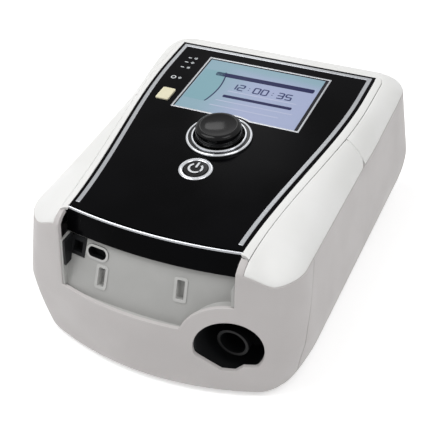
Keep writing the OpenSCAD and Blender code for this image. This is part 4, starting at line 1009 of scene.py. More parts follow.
class Finishes:
    """Every finish of the ventilator, made once and found by its slot."""

    ALL = (
        # Housing halves, spark-eroded moulding: a fine matt grain that takes light evenly
        Moulded("PC-ABS pale grey, spark-eroded moulding", "shell_grey", "#C9C5C4", "#C5C1C0", (0.42, 0.55),
                0.55, 0.02),
        # Side covers and rear cover, finer texture: brighter and a little smoother
        Moulded("PC-ABS white, satin moulding", "shell_white", "#F1F1F0", "#ECECEA", (0.34, 0.44), 0.5,
                0.012),
        # Panel, clear cap over black from a polished tool: deep black with sharp, faint reflections
        Moulded("PMMA-capped ABS black, polished", "panel_black", "#040405", "#070709", (0.1, 0.18), 0.9,
                0.003, specular=0.02),
        # Plated strip round the panel, bright with soft waves from the polishing; the same chrome is the
        # painted highlight on the front lip's top edge
        Metal("Chromed ABS, satin plated", "bright_trim", "#B4B6B9", "#A2A4A8", (0.18, 0.28)),
        # Docking bay, matt moulding: mid grey with a dull, even grain
        Moulded("ABS mid grey, matt moulding", "bay_grey", "#B5B5B3", "#ADADAB", (0.5, 0.62), 0.6, 0.025),
        # Frames of the hook slots: a lighter grey of the same dull grain
        Moulded("ABS light grey, matt moulding", "slot_grey", "#C6C6C4", "#BDBDBB", (0.48, 0.6), 0.6, 0.02),
        # Sockets of the bay, glass-filled nylon: dark, dull, slightly dusty
        Moulded("PA66 glass-filled black, moulded", "socket_black", "#0C0D0E", "#141517", (0.45, 0.6), 0.4,
                0.03, specular=0.2),
        # Outlet recess and connector, glass-filled nylon with a soft shine
        Moulded("PA66 black, satin moulding", "port_black", "#08090A", "#0E0F10", (0.4, 0.55), 0.5, 0.02,
                specular=0.15),
        # Seal behind the outlet, dark silicone rubber with a waxy look
        Moulded("Silicone rubber dark grey, moulded", "silicone_dark", "#33353A", "#3B3D43", (0.5, 0.62),
                0.5, 0.01, sheen=0.15),
        # Back plate of the display, rolled sheet: a dim metal shine with fine lines
        Metal("Stainless steel sheet, rolled", "module_steel", "#A9ACB0", "#9A9DA2", (0.3, 0.45), 0.3),
        # Circuit boards, green lacquer: glossy, with paler copper tracks under it
        Board(),
        # Screws, shafts and pins, zinc plating: a cool, slightly cloudy shine
        Metal("Steel, zinc plated", "steel", "#B9BBBD", "#A7A9AC", (0.28, 0.42), 0.25),
        # Knob and start button, from a polished tool: deep black with sharp reflections
        Moulded("ABS black, high-gloss moulding", "knob_black", "#070708", "#0C0C0E", (0.06, 0.12), 0.8,
                0.003, specular=0.16),
        # Small moulded parts on the boards: black with a soft shine
        Moulded("PBT black, moulded", "part_black", "#1D1E21", "#26272B", (0.4, 0.55), 0.4, 0.02),
        # Knob ring and start ring, chrome: mirror-like, with sharp highlights
        Metal("Chromed zinc die casting, polished", "chrome_ring", "#D3D5D8", "#C2C4C8", (0.08, 0.14)),
        # Mute key, translucent cream silicone with a matt skin
        Moulded("Silicone rubber cream, matt moulded", "key_cream", "#E9E3C6", "#DED7B7", (0.45, 0.58), 0.5,
                0.015, ior=1.43),
        # Light windows beside the display: clear, with a faint bluish tone
        Clear("Polycarbonate clear, polished", "lens_clear", "#E8EDF0", 0.08, 0.6, 1.58),
        # Rear intake door and its frame, dark grey with a matt grain
        Moulded("ABS dark grey, matt moulding", "grille_grey", "#5E6266", "#55595D", (0.5, 0.62), 0.6,
                0.03),
        # Intake filter, pressed polyester fleece with fuzzy fibres and painted shade between them
        Cells("Polyester fleece, pressed", "filter_fleece", "#ECE9DF", "#C9C5B8", 0.8, 0.25, 0.85,
              sheen=0.4),
        # Mains pins, brass under nickel: a warm shine with fine turning lines
        Metal("Brass, nickel plated and turned", "brass_pins", "#CDB98C", "#BFA874", (0.22, 0.35), 0.2),
        # Blower halves and air boxes: plain mid grey with a soft shine
        Moulded("PP grey, moulded", "blower_grey", "#8B9096", "#82878E", (0.42, 0.56), 0.6, 0.02),
        # Blower wheel, undyed plastic: an off-white that looks slightly waxy
        Moulded("PBT natural white, moulded", "impeller_white", "#E4E4DE", "#DAD9D2", (0.4, 0.5), 0.5,
                0.015),
        # Rotor magnet, ground ferrite with a metal grey sheen
        Metal("Ferrite magnet, ground", "magnet", "#5A5C60", "#4D4F53", (0.35, 0.5), 0.2),
        # Motor windings, enamelled wire: copper red with painted shade in the gaps between the turns
        Cells("Copper wire, enamelled and wound", "copper_winding", "#B5683A", "#7E3F1E", 0.5, 0.2, 0.32,
              (0.12, 0.12, 1), 0.9),
        # Ducts and flow sensor: pale grey with a soft shine
        Moulded("PP pale grey, moulded", "duct_grey", "#C7CCD1", "#BDC2C8", (0.4, 0.52), 0.6, 0.02),
        # Muffler lining, open-cell foam: dark grey, pitted with painted shade in the pits, and quite dull
        Cells("Polyurethane foam, open cell", "foam", "#4A4C50", "#1F2022", 1.6, 0.7, 0.9),
        # Pressure tube, soft silicone: clear but a little cloudy
        Clear("Silicone rubber clear, extruded", "silicone_clear", "#E6EEF2", 0.25, 0.75, 1.43),
        # Flat cable: pale grey with a fine rib for each wire and painted shade in the grooves between them
        Cells("PVC grey, ribbed flat cable", "cable_grey", "#B8BBC0", "#9B9EA4", 1.27, 0.3, 0.5,
              (1, 0.02, 1)),
        # Bars and digits on the display, the dark state of its dots
        Pixels("LCD dots, switched dark", "dots_dark", "#1A1E54", "#22275E"),
        # Clock digits, a greyer dark than the bars
        Pixels("LCD dots, switched half dark", "dots_grey", "#2E376C", "#3A4478"),
        # Field at the left, lit in cyan
        Pixels("LCD dots, lit in cyan", "dots_cyan", "#9AC6D2", "#90BCC9"),
        # Thin lines between the fields, lit brighter than the ground
        Pixels("LCD dots, lit bright", "dots_bright", "#DDE2FA", "#D3DAF6"),
        # Printed symbol of the start key and its neighbours: silver ink, a little uneven
        Metal("Silver ink, screen printed", "ink_silver", "#D8DADC", "#BFC2C5", (0.3, 0.42), 0.3),
        # Band in the knob ring's groove, gloss black: a painted dark reflection where the chrome ring shows
        # a dark line
        Moulded("Gloss black, painted dark reflection", "reflection_black", "#08080A", "#0D0D0F", (0.1, 0.16), 0.8, 0.003,
                specular=0.2),
        # Feet, black rubber with a dull bloom
        Moulded("Nitrile rubber black, moulded", "foot_rubber", "#232427", "#2D2E31", (0.6, 0.75), 0.5,
                0.03, sheen=0.2),
    )

    def __init__(self) -> None:
        """Builds the materials."""
        display = Backlit(centre=tuple(on_panel([[0, DISPLAY_V, -0.1]])[0]))
        self.by_slot = {finish.slot: finish.dress() for finish in (*self.ALL, display)}

    def put(self, obj: bpy.types.Object, slot: str) -> None:
        """Gives a piece one finish in all its slots."""
        obj.data.materials.clear()
        obj.data.materials.append(self.by_slot[slot])

    def wear(self, node_name: str) -> None:
        """Gives a solid of the frame the finish that the record names for it.

        Args:
            node_name: The solid.
        """
        obj = frame["nodes"][node_name]
        slot = SLOTS[node_name]
        for holder in obj.material_slots:
            holder.material = self.by_slot[slot]
        if not obj.material_slots:
            obj.data.materials.append(self.by_slot[slot])


# Shaping tools that need the frame

SLOTS = {part["node"]: part["material_slot"] for part in frame["record"]["subparts"]}


def on_panel(points: np.ndarray) -> np.ndarray:
    """Turns places on the panel to the part's own frame.

    Args:
        points: x, distance from the panel's rear edge and height over the panel, n x 3.

    Returns:
        Points, n x 3.
    """
    f = HousingForm()
    t = math.radians(f.tilt)
    x, v, w = np.asarray(points, float).T
    y = f.panel_y - v * math.cos(t) - w * math.sin(t)
    return np.column_stack([x, y, f.panel_h - v * math.sin(t) + w * math.cos(t)])


def on_lip_highlight(at: Vector, way: Vector) -> bool:
    """Says whether a face, by its middle and its normal, is in the front lip's painted highlight: the chrome
    band on its rounded top edge.
    """
    panel_end = on_panel([[0, HousingForm().panel_l, 0]])[0][2]
    return at.z > panel_end - LIP_HIGHLIGHT and 0.4 < way.z < 0.93 and way.y < -0.2


def on_data_frame(at: Vector, way: Vector) -> bool:
    """Says whether a face, by its middle and its normal, is on the data socket's light frame."""
    return way.y < -0.8 and at.y < DATA_FRONT


def revolved(profile: Sequence, count: int = 96) -> Solid:
    """Turns a closed profile round an axis.

    Args:
        profile: Corners as (radius, height), anticlockwise with the radius to the right. A radius of 0 is
            a pole.
        count: Steps round the axis.

    Returns:
        Points about the axis, with the third coordinate along it, and faces.
    """
    corners = np.asarray(profile, float)
    a = np.arange(count) * 2 * math.pi / count
    points = np.array([[r * math.cos(t), r * math.sin(t), z] for r, z in corners for t in a])
    faces = []
    for i in range(len(corners)):
        j = (i + 1) % len(corners)
        if corners[i][0] < 1e-9 and corners[j][0] < 1e-9:
            continue
        for k in range(count):
            m = (k + 1) % count
            faces.append((i * count + k, i * count + m, j * count + m, j * count + k))
    return points, faces


def bend(first: np.ndarray, corner: np.ndarray, last: np.ndarray, steps: int) -> np.ndarray:
    """Draws the curve that rounds a corner.

    Args:
        first: Where it starts.
        corner: The corner that it rounds.
        last: Where it ends.
        steps: Steps along it.

    Returns:
        Its points, with both ends.
    """
    t = np.linspace(0, 1, steps + 1)[:, None]
    return first * (1 - t) ** 2 + corner * 2 * t * (1 - t) + last * t * t


def rounded(profile: Sequence, radii: Sequence, steps: int = 5) -> np.ndarray:
    """Rounds the corners of a profile.

    Args:
        profile: Corners of a closed outline.
        radii: A radius for each corner.
        steps: Steps in a rounded corner.

    Returns:
        The outline with its corners rounded, n x 2.
    """
    out = []
    corners = np.asarray(profile, float)
    for i, (corner, radius) in enumerate(zip(corners, radii)):
        before, after = corners[i - 1] - corner, corners[(i + 1) % len(corners)] - corner
        la, lb = np.linalg.norm(before), np.linalg.norm(after)
        before, after = before / la, after / lb
        half = math.acos(np.clip(before @ after, -1, 1)) / 2
        reach = min(radius / math.tan(half), la * 0.49, lb * 0.49)
        out.append(bend(corner + before * reach, corner, corner + after * reach, steps))
    return np.vstack(out)


def turned(profile: Sequence, x: float, v: float, name: str, count: int = 96) -> bpy.types.Object:
    """Makes a round piece that stands on the panel.

    Args:
        profile: Its closed profile as (radius, height over the panel).
        x: Place of its middle across the panel.
        v: Distance of its middle from the panel's rear edge.
        name: Name of the piece.
        count: Steps round it.

    Returns:
        The piece.
    """
    points, faces = revolved(profile, count)
    placed = on_panel(points * [1, -1, 1] + [x, v, 0])
    return make_object(name, placed, faces, weld=0.002)


def softened(source: str, name: str, width: float, segments: int = 3, angle: float = 32.0,
             merge: float = 0.002) -> bpy.types.Object:
    """Copies a solid of the frame and rounds its edges, as a mould does.

    Args:
        source: The solid.
        name: Name of the new piece.
        width: Width of the rounding in millimetres.
        segments: Steps in the rounding.
        angle: Edges sharper than this, in degrees, are rounded.
        merge: Distance in millimetres under which points are merged.

    Returns:
        The new piece, without finish and body.
    """
    solid = frame["nodes"][source]
    work = bmesh.new()
    work.from_mesh(solid.data)
    bmesh.ops.remove_doubles(work, verts=work.verts, dist=merge * MM)
    bmesh.ops.dissolve_limit(work, angle_limit=math.radians(0.6), verts=work.verts, edges=work.edges)
    mesh = bpy.data.meshes.new(name)
    work.to_mesh(mesh)
    work.free()
    mesh.materials.clear()
    obj = bpy.data.objects.new(name, mesh)
    bpy.context.scene.collection.objects.link(obj)
    mesh.shade_smooth()
    bevel = obj.modifiers.new("Rounding", "BEVEL")
    bevel.width = width * MM
    bevel.segments = segments
    bevel.limit_method = "ANGLE"
    bevel.angle_limit = math.radians(angle)
    bevel.use_clamp_overlap = True
    weighted = obj.modifiers.new("Even light", "WEIGHTED_NORMAL")
    weighted.keep_sharp = True
    return baked(obj)


class Builder:
    """What every sub-assembly shares: its finishes and the way a piece is handed over."""

    def __init__(self, finishes: Finishes) -> None:
        """Keeps the finishes."""
        self.finishes = finishes

    def hand_over(self, obj: bpy.types.Object, carrier: Body, slot: str, *nodes: str,
                  finish: str = "") -> bpy.types.Object:
        """Dresses a new piece, fixes it to its body and hides what it stands for.

        Args:
            obj: The piece.
            carrier: The body that it moves with.
            slot: Its material slot.
            *nodes: The solids that it replaces.
            finish: Its finish, where that isn't the slot's own.

        Returns:
            The piece.
        """
        body = carrier.value
        self.finishes.put(obj, finish or slot)
        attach(obj, body)
        if nodes:
            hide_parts(*nodes)
        LOG.info("%s: %d faces on %s", obj.name, len(obj.data.polygons), body)
        return obj

    def soften(self, source: str, width: float) -> bpy.types.Object:
        """Replaces a solid of the frame by a copy with rounded edges and the same finish."""
        obj = softened(source, source + ".moulded", width)
        return self.hand_over(obj, Body(frame["nodes"][source]["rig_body"]), SLOTS[source], source)

    def accent(self, source: str, width: float, finish: str,
               chosen: Callable[[Vector, Vector], bool]) -> None:
        """Replaces a solid by a rounded copy of which some faces get a second finish.

        Args:
            source: The solid.
            width: Width of the rounding in millimetres.
            finish: The second finish.
            chosen: Says of a face, from its middle in the part's own frame and its normal, whether it
                gets the second finish.
        """
        obj = self.soften(source, width)
        obj.data.materials.append(self.finishes.by_slot[finish])
        origin = Vector(part_origin())
        for face in obj.data.polygons:
            if chosen(face.center / MM - origin, face.normal):
                face.material_index = 1


def cornered(before: np.ndarray, after: np.ndarray, radius: float, steps: int = 6) -> np.ndarray:
    """Joins two lines of points that share a corner, by a rounded corner.

    Args:
        before: Points that end in the corner.
        after: Points that start in it.
        radius: How far from the corner the rounding starts.
        steps: Steps in the rounding.

    Returns:
        One line of points.
    """
    corner = before[-1]

    def cut(line: np.ndarray) -> tuple[np.ndarray, np.ndarray]:
        """Cuts a line where the rounding meets it.

        Args:
            line: Points that start in the corner.

        Returns:
            The points further off than the radius, and the place at the radius.
        """
        away = np.linalg.norm(line - corner, axis=1)
        k = int(np.argmax(away > radius))
        t = (radius - away[k - 1]) / (away[k] - away[k - 1])
        return line[k:], line[k - 1] + t * (line[k] - line[k - 1])

    kept_before, first = cut(before[::-1])
    kept_after, last = cut(after)
    return np.vstack([kept_before[::-1], bend(first, corner, last, steps), kept_after])


def spaced(line: np.ndarray, step: float) -> np.ndarray:
    """Spreads points evenly along an open line and keeps its ends.

    Args:
        line: Points of the line.
        step: Largest distance between two points.

    Returns:
        The new points.
    """
    lengths = np.concatenate([[0], np.cumsum(np.linalg.norm(np.diff(line, axis=0), axis=1))])
    at = np.linspace(0, lengths[-1], max(2, math.ceil(lengths[-1] / step) + 1))
    return np.column_stack([np.interp(at, lengths, line[:, k]) for k in range(line.shape[1])])


def straight(first: Sequence, last: Sequence, step: float) -> np.ndarray:
    """Joins two places by a straight line of points, no further apart than a step."""
    return spaced(np.array([first, last]), step)


def ring(*lines: np.ndarray, plain: int = 0) -> Rim:
    """Closes lines of points into a rim; the first few, as plain says, get no rounded edge."""
    rolled = [np.full(len(line) - 1, k >= plain) for k, line in enumerate(lines)]
    return Rim(np.vstack([line[:-1] for line in lines]), np.concatenate(rolled))


def hole(places: np.ndarray) -> Rim:
    """Makes a hole's rim, turned so that the material is on its left.

    Args:
        places: Outline of the hole, n x 2.

    Returns:
        The rim.
    """
    x, y = places.T
    area = (x * np.roll(y, -1) - y * np.roll(x, -1)).sum()
    return Rim(places[::-1] if area > 0 else places)


@dataclass
class Housing:
    """The two housing halves and the side covers, as moulded walls with rounded edges.

    Outlines are drawn in the skin's own (u, v). An opening in the rear wall is given by the x and the
    height of its middle, its width, its height and the radius of its corners. split_u holds the u of the
    seam between the front wall and the rear one, from the bottom up.
    """

    builder: Builder
    skin: HousingSkin = field(default_factory=HousingSkin)
    seam: float = 0.34
    step: float = 2.4
    seam_step: float = 1.6
    jamb_step: float = 1.2
    bay_half: float = 62.5
    jamb_x: float = 67.0
    jamb_y: float = -109.2
    ledge_z: float = 56.5
    outlet: tuple[float, float] = (59.5, 43.7)
    hood_r: float = 33.7
    window_r: float = 22.3
    intake: tuple[float, ...] = (-45.0, 45.0, 65.6, 45.6, 1.5)
    inlet: tuple[float, ...] = (52.0, 40.0, 30.9, 23.9, 3.0)
    feet: tuple[tuple[float, float], ...] = ((72, -88), (-72, -88), (72, 96), (-72, 96))
    foot_hole_r: float = 7.7
    wells: tuple[tuple[float, float], ...] = ((84, -84), (-84, -84), (84, 98), (-84, 98))
    well_r: float = 3.15
    well_wall: float = 1.8
    well_foot: float = 2.4
    well_top: float = 74.0
    under_step: float = 9.0
    band: float = 5.5
    band_front: float = -108.0
    band_under: float = 0.25
    band_step: float = 1.7
    band_end_step: float = 1.4
    band_roll: float = 0.4
    band_depth: float = 2.4
    cover_rear: float = 27.0
    cover_front: float = -104.0
    cover_depth: float = 2.2
    cover_corners: tuple[float, float] = (7.0, 2.5)
    split_u: tuple[float, ...] = (105.8, 105.4, 105.1, 105.4, 106.9, 109.3, 112.4, 116.4, 121.4, 126.0,
                                  129.6)

    def front_parting(self, x: float) -> float:
        """Finds a place on the front's parting line.

        Args:
            x: Place across.

        Returns:
            Its u.
        """
        f = self.skin.form
        a = np.linspace(0.2, 0.9, 1400)
        r = f.reach(f.wall_distance, a, f.parting(a))
        return float(self.skin.along(np.interp(abs(x), r * np.sin(a), a)) * np.sign(x))

    def jamb(self, x: float, v: float) -> np.ndarray:
        """Draws the line up the shoulder to the jamb's top.

        Args:
            x: Place across.
            v: Height of its foot.

        Returns:
            (u, v) from the foot up.
        """
        start = np.array([self.front_parting(x), v])
        y = np.linspace(0, 1, 9)[1:]
        foot = self.skin(start[None])[0]
        line = self.skin.on_shoulder(np.full(8, x), foot[1] + (self.jamb_y - foot[1]) * y)
        return np.vstack([start, line])

    def bay_side(self, x: float, z: float) -> np.ndarray:
        """Draws the bay's upright edge, up to the jamb's top.

        Args:
            x: Place across.
            z: Height of its foot.

        Returns:
            (u, v) from the foot up.
        """
        v = self.skin.form.parting_v
        parting = self.skin(np.array([[self.front_parting(x), v]]))[0][2]
        heights = np.linspace(z, parting, 12)[:-1]
        wall = self.skin.on_wall(np.full(len(heights), x), heights)
        return np.vstack([wall, self.jamb(x, v)])

    def outlet_outline(self) -> np.ndarray:
        """Draws the opening round the outlet, with its sloping lower edge.

        Returns:
            x and height, n x 2.
        """
        r = self.window_r
        corners = np.array([(-1.3, 1.3), (1.3, 1.3), (1.3, -0.62), (0.42, -0.62), (0.18, -0.84),
                            (-0.2, -0.84), (-1, -0.26), (-1.3, 0)]) * r
        angles = np.concatenate([np.arange(72) * math.pi / 36, np.arctan2(corners[:, 1], corners[:, 0])])
        out = []
        for t in np.unique(np.round(angles % (2 * math.pi), 5)):
            way = np.array([math.cos(t), math.sin(t)])
            reach = r
            for a, b in zip(corners, np.roll(corners, -1, axis=0)):
                side = b - a
                det = way[0] * -side[1] + way[1] * side[0]
                if abs(det) < 1e-9:
                    continue
                k = (a[0] * -side[1] + a[1] * side[0]) / det
                m = (way[0] * a[1] - way[1] * a[0]) / det
                if k > 0 and -1e-6 <= m <= 1 + 1e-6:
                    reach = min(reach, k)
            out.append(way * reach)
        return np.array(out) + self.outlet

    def front_wall(self, near: np.ndarray) -> tuple[Solid, np.ndarray]:
        """Makes the base's front wall, with the bay and the opening round the outlet.

        Args:
            near: (u, v) of its edge on the +X side, from the bottom up.

        Returns:
            The wall, and (u, v) of its bottom edge.
        """
        skin, step = self.skin, self.step
        ox, oz = self.outlet
        high = oz + math.sqrt(self.hood_r ** 2 - (self.bay_half - ox) ** 2)
        low = ox - math.sqrt(self.hood_r ** 2 - (self.ledge_z - oz) ** 2)
        turn = np.linspace(math.atan2(high - oz, self.bay_half - ox),
                           math.atan2(self.ledge_z - oz, low - ox), 24)
        hood = skin.on_wall(ox + self.hood_r * np.cos(turn), oz + self.hood_r * np.sin(turn))
        ledge_x = np.append(np.arange(low, -self.bay_half, -step), -self.bay_half)
        ledge = skin.on_wall(ledge_x, np.full(len(ledge_x), self.ledge_z))
        top = skin.form.parting_v - self.seam / 2
        right_out, right_in = self.jamb(self.jamb_x, top), self.bay_side(self.bay_half, high)
        left_out, left_in = self.jamb(-self.jamb_x, top), self.bay_side(-self.bay_half, self.ledge_z)
        across = near * [-1, 1]
        bottom = straight(across[0], near[0], step)
        rim = ring(
            bottom,
            spaced(near, self.seam_step),
            straight(near[-1], right_out[0], step),
            spaced(right_out, self.jamb_step),
            straight(right_out[-1], right_in[-1], self.jamb_step),
            spaced(right_in[::-1], step),
            spaced(hood, step),
            ledge,
            spaced(left_in, step),
            straight(left_in[-1], left_out[-1], self.jamb_step),
            spaced(left_out[::-1], self.jamb_step),
            straight(left_out[0], across[-1], step),
            spaced(across[::-1], self.seam_step),
            plain=1)
        window = self.outlet_outline()
        opening = hole(skin.on_wall(window[:, 0], window[:, 1]))
        return Sheet(skin, [rim, opening], step).build(), bottom

    def rear_wall(self, far: np.ndarray) -> tuple[Solid, np.ndarray]:
        """Makes the base's rear wall, with the openings of the air intake and the mains inlet.

        Args:
            far: (u, v) of its edge on the +X side, from the bottom up.

        Returns:
            The wall, and (u, v) of its bottom edge.
        """
        away = far * [-1, 1] + [self.skin.girth, 0]
        bottom = straight(far[0], away[0], self.step)
        rims = [ring(bottom, spaced(away, self.seam_step), straight(away[-1], far[-1], self.step),
                     spaced(far[::-1], self.seam_step), plain=1)]
        for x, z, width, height, radius in (self.intake, self.inlet):
            right, up = width / 2, height / 2
            corners = [(x - right, z - up), (x + right, z - up), (x + right, z + up), (x - right, z + up)]
            loop = filled(rounded(corners, [radius] * 4), self.step)
            rims.append(hole(self.skin.on_wall(loop[:, 0], loop[:, 1], Wall.REAR)))
        return Sheet(self.skin, rims, self.step).build(), bottom

    def underside(self, edge: np.ndarray) -> Solid:
        """Makes the flat underside, with the holes of the screw wells and the feet.

        Args:
            edge: Points of the walls' bottom edges, all the way round.

        Returns:
            Points in millimetres and faces.
        """
        level = self.skin.form.foot_h

        def below(places: np.ndarray) -> np.ndarray:
            """Lays places, seen from below, on the underside."""
            return np.column_stack([places[:, 0], -places[:, 1], np.full(len(places), level)])

        rims = [Rim(np.column_stack([edge[:, 0], -edge[:, 1]])[::-1], False)]
        rims += [hole(ring_points(x, -y, self.well_r, 28)) for x, y in self.wells]
        rims += [hole(ring_points(x, -y, self.foot_hole_r, 48)) for x, y in self.feet]
        return Sheet(below, rims, self.under_step).build()

    def base(self) -> Solid:
        """Makes the base: its two walls, the underside and the tubes of the screw wells.

        Returns:
            Points in millimetres and faces.
        """
        f, gap = self.skin.form, self.seam / 2
        split = np.column_stack([self.split_u, np.linspace(0, f.parting_v - gap, len(self.split_u))])
        front, front_edge = self.front_wall(split - [gap, 0])
        rear, rear_edge = self.rear_wall(split + [gap, 0])
        under = self.underside(np.vstack([self.skin(front_edge), self.skin(rear_edge)]))
        r, out, low = self.well_r, self.well_r + self.well_wall, f.foot_h + self.well_foot
        points, faces = revolved([(r, low), (out, low), (out, self.well_top), (r, self.well_top)], 28)
        tubes = [(points + [x, y, 0], faces) for x, y in self.wells]
        return joined([front, rear, under, *tubes])

    def beside(self, out: float, y0: float, y1: float) -> np.ndarray:
        """Draws a line beside the panel on the +X side.

        Args:
            out: Its distance from the panel.
            y0: Depth where it starts.
            y1: Depth where it ends.

        Returns:
            Its plan, n x 2.
        """
        f = self.skin.form
        y = np.linspace(y0, y1, max(2, math.ceil(abs(y1 - y0) / 3)))
        return np.column_stack([f.panel_half((f.panel_y - y) / math.cos(math.radians(f.tilt))) + out, y])

    def around(self, out: float, y0: float) -> np.ndarray:
        """Draws a line round the panel's sides and rear, from the +X side to the other.

        Args:
            out: Its distance from the panel.
            y0: Depth of both its ends.

        Returns:
            Its plan, n x 2.
        """
        f = self.skin.form
        corner = f.panel_corner[1]
        radius = corner + out
        side = self.beside(out, y0, f.panel_y - corner)
        turn = np.linspace(0, math.pi / 2, 10)[1:]
        rounding = np.column_stack([side[-1, 0] - radius + radius * np.cos(turn),
                                    f.panel_y - corner + radius * np.sin(turn)])
        half = np.vstack([side, rounding, [[0, f.panel_y + out]]])
        return np.vstack([half, half[-2::-1] * [-1, 1]])

    def across(self, x: float, y: float, v: float) -> np.ndarray:
        """Draws the line across the shoulder on the +X side, from the parting line in.

        Args:
            x: Place across where it ends.
            y: Depth.
            v: Height where it starts.

        Returns:
            (u, v) of its points.
        """
        f = self.skin.form
        a = np.linspace(0.3, 2.9, 1400)
        r = f.reach(f.wall_distance, a, f.parting(a))
        start = float(self.skin.along(np.interp(y, -r * np.cos(a), a)))
        outer = self.skin(np.array([[start, f.parting_v]]))[0][0]
        x = outer + (x - outer) * np.linspace(0, 1, 14)[1:]
        return np.vstack([[start, v], self.skin.on_shoulder(x, np.full(13, y), turn=True)])

    def top(self) -> Solid:
        """Makes the top: a band round the panel and the rear part, with a fine groove between them.

        Returns:
            Points in millimetres and faces.
        """
        skin, f, step, end = self.skin, self.skin.form, self.step, self.band_end_step
        gap = self.seam / 2
        line = self.around(self.band - gap, self.band_front)
        outer = skin.on_shoulder(line[:, 0], line[:, 1], turn=True)
        inner = self.around(0.0, self.band_front)
        edge = skin.on_shoulder(inner[:, 0], inner[:, 1], turn=True)
        edge[:, 1] = f.top_v - self.band_under
        rim = ring(spaced(outer, step), straight(outer[-1], edge[-1], end), spaced(edge[::-1], step),
                   straight(edge[0], outer[0], end))
        band = Sheet(skin, [rim], self.band_step, self.band_roll, self.band_depth).build()
        line = self.around(self.band + gap, self.cover_rear + gap)
        inner = skin.on_shoulder(line[:, 0], line[:, 1], turn=True)
        right = self.across(line[0, 0], self.cover_rear + gap, f.parting_v + gap)
        left = (right * [-1, 1] + [skin.girth, 0])[::-1]
        rim = ring(straight(right[0], left[-1], step), spaced(left[::-1], step), spaced(inner[::-1], step),
                   spaced(right[::-1], step))
        return joined([band, Sheet(skin, [rim], step).build()])

    def cover(self) -> Solid:
        """Makes the side cover on the +X side.

        Returns:
            Points in millimetres and faces.
        """
        skin, step, gap = self.skin, self.step, self.seam / 2
        low = skin.form.parting_v + gap
        front = np.array([self.front_parting(self.jamb_x + gap), low])
        inner = self.beside(self.band + gap, self.cover_rear - gap, self.cover_front)
        rear = self.across(inner[0, 0], self.cover_rear - gap, low)
        foot = skin(front[None])[0]
        ahead = np.column_stack([np.full(7, self.jamb_x + gap),
                                 np.linspace(self.cover_front - 4, foot[1], 8)[:-1]])
        plan = np.vstack([inner, ahead])
        side = np.vstack([skin.on_shoulder(plan[:, 0], plan[:, 1]), front])
        outline = cornered(straight(front, rear[0], step), rear, self.cover_corners[0])
        outline = cornered(outline, side, self.cover_corners[1])
        return Sheet(skin, [ring(spaced(outline, step))], step, depth=self.cover_depth).build()

    def build(self) -> None:
        """Makes the pieces and hands them over."""
        points, faces = self.cover()
        mirrored = points * [-1, 1, 1], [face[::-1] for face in faces]
        pieces = (("base_shell", "shell_grey", self.base()), ("top_shell", "shell_white", self.top()),
                  ("side_cover_right", "shell_white", (points, faces)),
                  ("side_cover_left", "shell_white", mirrored))
        for name, slot, solid in pieces:
            made = make_object(name + ".moulded", *solid, weld=0.01)
            self.builder.hand_over(made, Body.HOUSING, slot, name)


@dataclass
class Repeats:
    """Copies of one small piece, laid out by a Geometry Nodes tree built here."""

    builder: Builder
    seed: int = 7

    def tree(self, name: str, slot: str) -> bpy.types.NodeTree:
        """Builds the tree.

        Args:
            name: Name of the tree.
            slot: Slot of the finish that the copies get.

        Returns:
            The tree, with the inputs Piece, Centre, Turn, Spread and Count.
        """
        tree = bpy.data.node_groups.new(name, "GeometryNodeTree")
        face = tree.interface
        face.new_socket("Piece", in_out="INPUT", socket_type="NodeSocketGeometry")
        face.new_socket("Centre", in_out="INPUT", socket_type="NodeSocketVector")
        face.new_socket("Turn", in_out="INPUT", socket_type="NodeSocketFloat")
        face.new_socket("Spread", in_out="INPUT", socket_type="NodeSocketVector")
        face.new_socket("Count", in_out="INPUT", socket_type="NodeSocketInt")
        face.new_socket("Result", in_out="OUTPUT", socket_type="NodeSocketGeometry")
        given = node(tree, "NodeGroupInput")
        piece, centre, turn, spread, count = given.outputs[:5]
        sides = node(tree, "ShaderNodeSeparateXYZ", {0: spread})
        points = node(tree, "GeometryNodeMeshGrid", {"Size X": sides.outputs[0], "Size Y": sides.outputs[1],
                      "Vertices X": count, "Vertices Y": count})
        most = node(tree, "ShaderNodeCombineXYZ", {"Z": turn})
        angle = node(tree, "FunctionNodeRandomValue", {"Max": most.outputs[0], "Seed": self.seed},
                     data_type="FLOAT_VECTOR")
        copies = node(tree, "GeometryNodeInstanceOnPoints", {"Points": points.outputs[0], "Instance": piece,
                      "Rotation": angle.outputs[0]})
        moved = node(tree, "GeometryNodeTransform", {"Geometry": copies.outputs[0], "Translation": centre})
        real = node(tree, "GeometryNodeRealizeInstances", {"Geometry": moved.outputs[0]})
        dressed = node(tree, "GeometryNodeSetMaterial", {"Geometry": real.outputs[0],
                       "Material": self.builder.finishes.by_slot[slot]})
        node(tree, "NodeGroupOutput", {0: dressed.outputs[0]})
        return tree

    def lay(self, piece: bpy.types.Object, slot: str, centre: Sequence, spread: Sequence, count: int,
            turn: float = 0.0) -> bpy.types.Object:
        """Replaces a piece by copies on the corners of a grid.

        Args:
            piece: The piece, made about its own origin.
            slot: Slot of the finish that the copies get.
            centre: Middle of the grid, in the part's own frame.
            spread: Size of the grid, in millimetres.
            count: Copies along each side of the grid.
            turn: Largest random turn of a copy, in degrees.

        Returns:
            The copies as one plain mesh.
        """
        tree = self.tree(piece.name + ".copies", slot)
        modifier = piece.modifiers.new("Copies", "NODES")
        modifier.node_group = tree
        values = {"Centre": [float(c) for c in (np.array(centre, float) + part_origin()) * MM],
                  "Turn": math.radians(turn), "Spread": [float(c) * MM for c in spread], "Count": count}
        for socket in tree.interface.items_tree:
            if socket.name in values:
                modifier[socket.identifier] = values[socket.name]
        return baked(piece)


